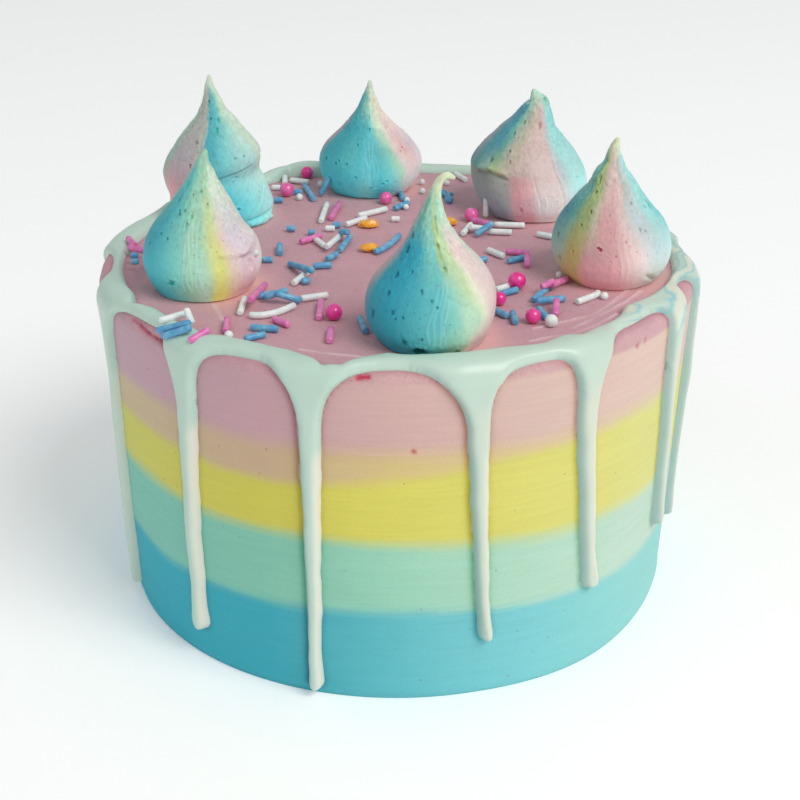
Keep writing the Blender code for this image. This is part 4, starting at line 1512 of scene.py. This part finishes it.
# The height of a crystal's middle above the top, half its height, how uneven it is and its flat foot.
CRYSTAL_SEAT = 1.3
CRYSTAL_RISE = 1.5
CRYSTAL_UNEVEN = 0.32
CRYSTAL_FOOT = -0.8


def on_level(pixel, level):
    """The point at that height in millimetres which the photograph shows at a pixel."""
    right = pixel[0] - PICTURE / 2
    up = PICTURE / 2 - pixel[1]
    forward = FOCAL_PIXELS * math.cos(LOOK_DOWN) + up * math.sin(LOOK_DOWN)
    rise = up * math.cos(LOOK_DOWN) - FOCAL_PIXELS * math.sin(LOOK_DOWN)
    stretch = (level * MM - VIEW_PLACE[2]) / rise
    return np.array([
        (VIEW_PLACE[0] + right * stretch) / MM,
        (VIEW_PLACE[1] + forward * stretch) / MM,
        level,
    ])


def size_at(point, pixels):
    """The size in millimetres of something that many pixels wide at a point."""
    forward = (point[1] * MM - VIEW_PLACE[1]) * math.cos(LOOK_DOWN)
    downward = (point[2] * MM - VIEW_PLACE[2]) * math.sin(LOOK_DOWN)
    return pixels * (forward - downward) / FOCAL_PIXELS / MM


def on_top(pixel, lift):
    """Where the middle of a rod on the cake's top is that the photograph shows at a pixel."""
    return on_level(pixel, TOP_LEVEL + ROD_RADIUS + lift)


def on_rim(pixel, lift):
    """Where the middle of a rod on the rim's icing is that the photograph shows at a pixel."""
    stand_off = RIM_THICKNESS + ROD_SEAT + lift
    for drop in np.arange(0.0, SHOULDER_DROP + stand_off, 0.1):
        point = on_level(pixel, CAKE_HEIGHT + stand_off - drop)
        azimuth = math.degrees(math.atan2(point[0], -point[1]))
        steep = 1.0 - drop / (SHOULDER_DROP + stand_off)
        outward = (SHOULDER_IN + stand_off) * math.sqrt(1.0 - steep ** 2)
        if math.hypot(point[0], point[1]) < flat_top_radius(azimuth) + outward:
            break
    return point


def nearest_clash(shares, curve, laid):
    """The smallest gap between a rod and those laid before, and the share along it where that is."""
    clash = None
    for share, point in zip(shares, curve):
        for other in laid:
            gap = np.linalg.norm(other - point)
            if gap < ROD_CLASH * ROD_RADIUS and (clash is None or gap < clash[0]):
                clash = (gap, share)
    return clash


def rod_path(pixels, place, laid):
    """Points along a rod between its pixels, with an end raised where it crosses one laid before."""
    lifts = [0.0, 0.0]
    shares = np.linspace(0.0, 1.0, 9)
    for _ in range(3):
        ends = [place(pixels[0], lifts[0]), place(pixels[-1], lifts[1])]
        middle = (ends[0] + ends[1]) / 2
        if len(pixels) == 3:
            middle = on_level(pixels[1], middle[2])
        bend = 4 * middle - ends[0] - ends[1]
        curve = [ends[0] * (1 - t) ** 2 + ends[1] * t ** 2 + bend * t * (1 - t) for t in shares]
        clash = nearest_clash(shares, curve, laid)
        if clash is None:
            break
        gap, share = clash
        need = ROD_GAP * ROD_RADIUS - gap + ROD_SPARE
        lifts[0 if share < 0.5 else 1] += need / max(share, 1 - share)
    return curve


def standing_path(pixels):
    """Points up a rod that stands on the top at its first pixel and ends at its second one."""
    low = on_level(pixels[0], TOP_LEVEL + ROD_RADIUS)
    reached = on_level(pixels[1], TOP_LEVEL)
    eye = np.array(VIEW_PLACE) / MM
    share = (low[1] + ROD_LEAN - eye[1]) / (reached[1] - eye[1])
    high = eye + (reached - eye) * share
    return [low + (high - low) * step / 4 for step in range(5)]


def seed_piece(name, points, edges, mark, values):
    """An object of bare points and edges with a value a point, for a node tree to grow from."""
    mesh = bpy.data.meshes.new(name)
    mesh.from_pydata([tuple(np.array(point) * MM) for point in points], edges, [])
    mesh.attributes.new(mark, "FLOAT", "POINT").data.foreach_set("value", values)
    return add_piece(name, mesh)


def rod_object(name, paths, tree, material):
    """One object whose edges are the rods' middle lines, turned into rods by the node tree."""
    points = []
    edges = []
    widths = []
    for path in paths:
        first = len(points)
        before = path[0] + (path[0] - path[1]) / np.linalg.norm(path[0] - path[1]) * ROD_END
        beyond = path[-1] + (path[-1] - path[-2]) / np.linalg.norm(path[-1] - path[-2]) * ROD_END
        points.extend([before, *path, beyond])
        edges.extend((number, number + 1) for number in range(first, len(points) - 1))
        widths.extend([ROD_END_WIDTH, *[1.0] * len(path), ROD_END_WIDTH])
    piece = seed_piece(name, points, edges, "width", widths)
    return grown(piece, tree, {"Radius": ROD_RADIUS * MM, "Sides": 12, "Finish": material})


def pearl_object(name, pearls, tree, material):
    """One object of points, each turned into a pearl of its own size by the node tree."""
    piece = seed_piece(name, [point for point, _ in pearls], [], "size", [radius for _, radius in pearls])
    return grown(piece, tree, {"Unit": MM, "Fineness": 4, "Finish": material})


def grown(piece, tree, inputs):
    """Turns what the node tree makes of a piece into its plain mesh."""
    modifier = piece.modifiers.new("grow", "NODES")
    modifier.node_group = tree
    for item in tree.interface.items_tree:
        if item.in_out == "INPUT" and item.name in inputs:
            modifier[item.identifier] = inputs[item.name]
    shown = piece.evaluated_get(bpy.context.evaluated_depsgraph_get())
    mesh = bpy.data.meshes.new_from_object(shown)
    piece.modifiers.clear()
    piece.data = mesh
    mesh.shade_smooth()
    return piece


def growing_tree(name, inputs):
    """An empty geometry node tree with named inputs, and a wire from each of them."""
    tree = bpy.data.node_groups.new(name, "GeometryNodeTree")
    tree.interface.new_socket(name="Geometry", in_out="OUTPUT", socket_type="NodeSocketGeometry")
    for label, kind in (("Geometry", "Geometry"), *inputs, ("Finish", "Material")):
        tree.interface.new_socket(name=label, in_out="INPUT", socket_type="NodeSocket" + kind)
    given = tree.nodes.new("NodeGroupInput").outputs
    return tree, {label: Wire(tree, given[label]) for label in given.keys() if label}


def finish_tree(tree, grown_shape, finish):
    """Ends a tree: its instances made real, in the material that it is given."""
    real = grown_shape.node("GeometryNodeRealizeInstances", None, {"Geometry": grown_shape})
    painted = real.node("GeometryNodeSetMaterial", None, {"Geometry": real, "Material": finish})
    tree.links.new(painted.socket, tree.nodes.new("NodeGroupOutput").inputs["Geometry"])
    return tree


def rod_tree():
    tree, given = growing_tree("sugar_rods", (("Radius", "Float"), ("Sides", "Int")))
    start = Wire(tree)
    curve = start.node("GeometryNodeMeshToCurve", None, {"Mesh": given["Geometry"]})
    ring = {"Radius": given["Radius"], "Resolution": given["Sides"]}
    circle = start.node("GeometryNodeCurvePrimitiveCircle", None, ring)
    width = start.node("GeometryNodeInputNamedAttribute", {"data_type": "FLOAT"}, {"Name": "width"})
    sockets = {"Curve": curve, "Profile Curve": circle, "Scale": width, "Fill Caps": True}
    tube = start.node("GeometryNodeCurveToMesh", None, sockets)
    return finish_tree(tree, tube, given["Finish"])


def pearl_tree():
    tree, given = growing_tree("sugar_pearls", (("Unit", "Float"), ("Fineness", "Int")))
    start = Wire(tree)
    sockets = {"Radius": given["Unit"], "Subdivisions": given["Fineness"]}
    ball = start.node("GeometryNodeMeshIcoSphere", None, sockets)
    size = start.node("GeometryNodeInputNamedAttribute", {"data_type": "FLOAT"}, {"Name": "size"})
    sockets = {"Points": given["Geometry"], "Instance": ball, "Scale": size}
    placed = start.node("GeometryNodeInstanceOnPoints", None, sockets)
    return finish_tree(tree, placed, given["Finish"])


def sugar_finish(name, colour, pale, roughness, gloss):
    """Pressed sugar: nearly even colour with a slightly powdery, dented skin."""
    material, shader, start = new_finish(name, subsurface_weight=0.15, subsurface_scale=0.0012,
                                         coat_weight=gloss, coat_roughness=0.12)
    place = object_place(start)
    patch = start.cloud(place, (420, 420, 420), 3.0)
    powder = start.cloud(place, (2600, 2600, 2600), 2.0)
    plug(shader, "Base Color", patch.rise(0.35, 0.75).mix(paint(*colour), paint(*pale)))
    plug(shader, "Roughness", roughness + powder * 0.2)
    relief(shader, patch * 0.7 + powder * 0.3, 0.00018)
    return material


def crystal_object(name, crystals, material):
    """Lumps of amber sugar: squashed balls with an uneven skin."""
    shuffle = random.Random(4)
    shape = bmesh.new()
    for u, v, wide, tall in crystals:
        middle = on_level((u, v), TOP_LEVEL + CRYSTAL_SEAT)
        half_long = size_at(middle, wide) / 2
        half_high = size_at(middle, tall) / 2
        lump = bmesh.ops.create_icosphere(shape, subdivisions=2, radius=1.0)["verts"]
        turn = shuffle.uniform(0.0, 3.0) * 0.2
        for vertex in lump:
            place = vertex.co.copy()
            uneven = 1.0 + CRYSTAL_UNEVEN * noise.noise(place * 1.3 + Vector((u, v, 0.0)))
            long_side = place.x * uneven * half_long
            short_side = place.y * uneven * half_high * 1.1
            vertex.co = Vector((
                middle[0] + long_side * math.cos(turn) - short_side * math.sin(turn),
                middle[1] + long_side * math.sin(turn) + short_side * math.cos(turn),
                middle[2] + max(place.z * uneven, CRYSTAL_FOOT) * CRYSTAL_RISE,
            )) * MM
    bmesh.ops.recalc_face_normals(shape, faces=shape.faces)
    mesh = bpy.data.meshes.new(name)
    shape.to_mesh(mesh)
    shape.free()
    mesh.materials.append(material)
    return add_piece(name, mesh)


# Each sugar: its colour and its paler patches in display values, its roughness and its gloss.
SUGARS = {
    "white": ((222, 234, 234), (242, 245, 242), 0.4, 0.15),
    "blue": ((84, 158, 204), (128, 192, 218), 0.4, 0.2),
    "pink": ((222, 110, 178), (236, 150, 200), 0.35, 0.3),
    "magenta": ((232, 24, 140), (244, 66, 166), 0.22, 0.9),
    "rose": ((236, 84, 164), (244, 130, 192), 0.26, 0.7),
    "amber": ((250, 160, 10), (252, 196, 60), 0.1, 0.8),
}


def make_sprinkles():
    sugars = {name: sugar_finish(name + "_sugar", *looks) for name, looks in SUGARS.items()}
    rods = rod_tree()
    pearls = pearl_tree()
    pieces = []
    laid = []
    for sugar, standing, top_rods, rim_rods in (
        ("white", STANDING_WHITE_RODS, WHITE_RODS, RIM_WHITE_RODS),
        ("blue", STANDING_BLUE_RODS, BLUE_RODS, RIM_BLUE_RODS),
        ("pink", (), PINK_RODS, RIM_PINK_RODS),
    ):
        paths = [standing_path(pixels) for pixels in standing]
        for place, group in ((on_top, top_rods), (on_rim, rim_rods)):
            for pixels in group:
                path = rod_path(pixels, place, laid)
                laid.extend(path)
                paths.append(path)
        pieces.append(rod_object(sugar + "_rods", paths, rods, sugars[sugar]))
    for name, sugar, stuck, group in (
        ("magenta_pearls", "magenta", (), MAGENTA_PEARLS),
        ("rose_pearls", "rose", (), ROSE_PEARLS),
        ("white_pearls", "white", (STUCK_PEARL,), WHITE_PEARLS),
        ("blue_crumbs", "blue", (), BLUE_CRUMBS),
    ):
        placed = list(stuck)
        for u, v, wide in group:
            radius = size_at(on_level((u, v), TOP_LEVEL), wide) / 2
            placed.append((on_level((u, v), TOP_LEVEL + PEARL_SEAT * radius), radius))
        pieces.append(pearl_object(name, placed, pearls, sugars[sugar]))
    pieces.append(crystal_object("amber_crystals", AMBER_CRYSTALS, sugars["amber"]))
    return pieces


# Floor, light and camera.

def make_floor():
    bpy.ops.mesh.primitive_plane_add(size=8.0, location=(0.0, 0.0, 0.0))
    floor = bpy.context.object
    floor.name = "floor"
    material, _, _ = new_finish("floor", base_color=(0.93, 0.94, 0.94, 1.0), roughness=0.8,
                                emission_color=(1.0, 1.0, 1.0, 1.0), emission_strength=0.17)
    floor.data.materials.append(material)


def aim(thing, target):
    thing.rotation_euler = (Vector(target) - thing.location).to_track_quat("-Z", "Y").to_euler()


def make_light(name, place, size, power, colour):
    light = bpy.data.lights.new(name, "AREA")
    light.shape = "DISK"
    light.size = size
    light.energy = power
    light.color = colour
    lamp = add_piece(name, light)
    lamp.location = place
    aim(lamp, (0.0, 0.0, 0.07))


def make_stage():
    make_floor()
    world = bpy.data.worlds.new("studio")
    world.use_nodes = True
    sky = world.node_tree.nodes["Background"]
    sky.inputs["Color"].default_value = (0.96, 0.98, 1.0, 1.0)
    sky.inputs["Strength"].default_value = 0.46
    bpy.context.scene.world = world
    make_light("key", (1.65, -1.50, 2.50), 1.9, 61.0, (1.0, 0.98, 0.95))
    make_light("fill", (-2.2, -1.2, 2.2), 2.9, 8.0, (0.94, 0.98, 1.0))
    bpy.context.scene.view_settings.view_transform = "Standard"
    camera = add_piece("camera", bpy.data.cameras.new("camera"))
    camera.data.lens = LENS
    camera.data.sensor_width = SENSOR
    camera.location = VIEW_PLACE
    camera.rotation_euler = (VIEW_TILT, 0.0, 0.0)
    bpy.context.scene.camera = camera


make_stage()
icing_edges = edge_tree()
coat = make_coat(coat_finish(), icing_edges)
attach(coat, "root")
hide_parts("cake")
rim = make_drip_icing(icing_finish(), icing_edges)
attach(rim, "root")
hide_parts("drip_icing")
meringue = meringue_finish()
for number, kiss in enumerate(KISSES, start=1):
    piece = make_kiss(number, kiss, meringue)
    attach(piece, "root")
    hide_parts("meringue_%d" % number)
for piece in make_sprinkles():
    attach(piece, "root")
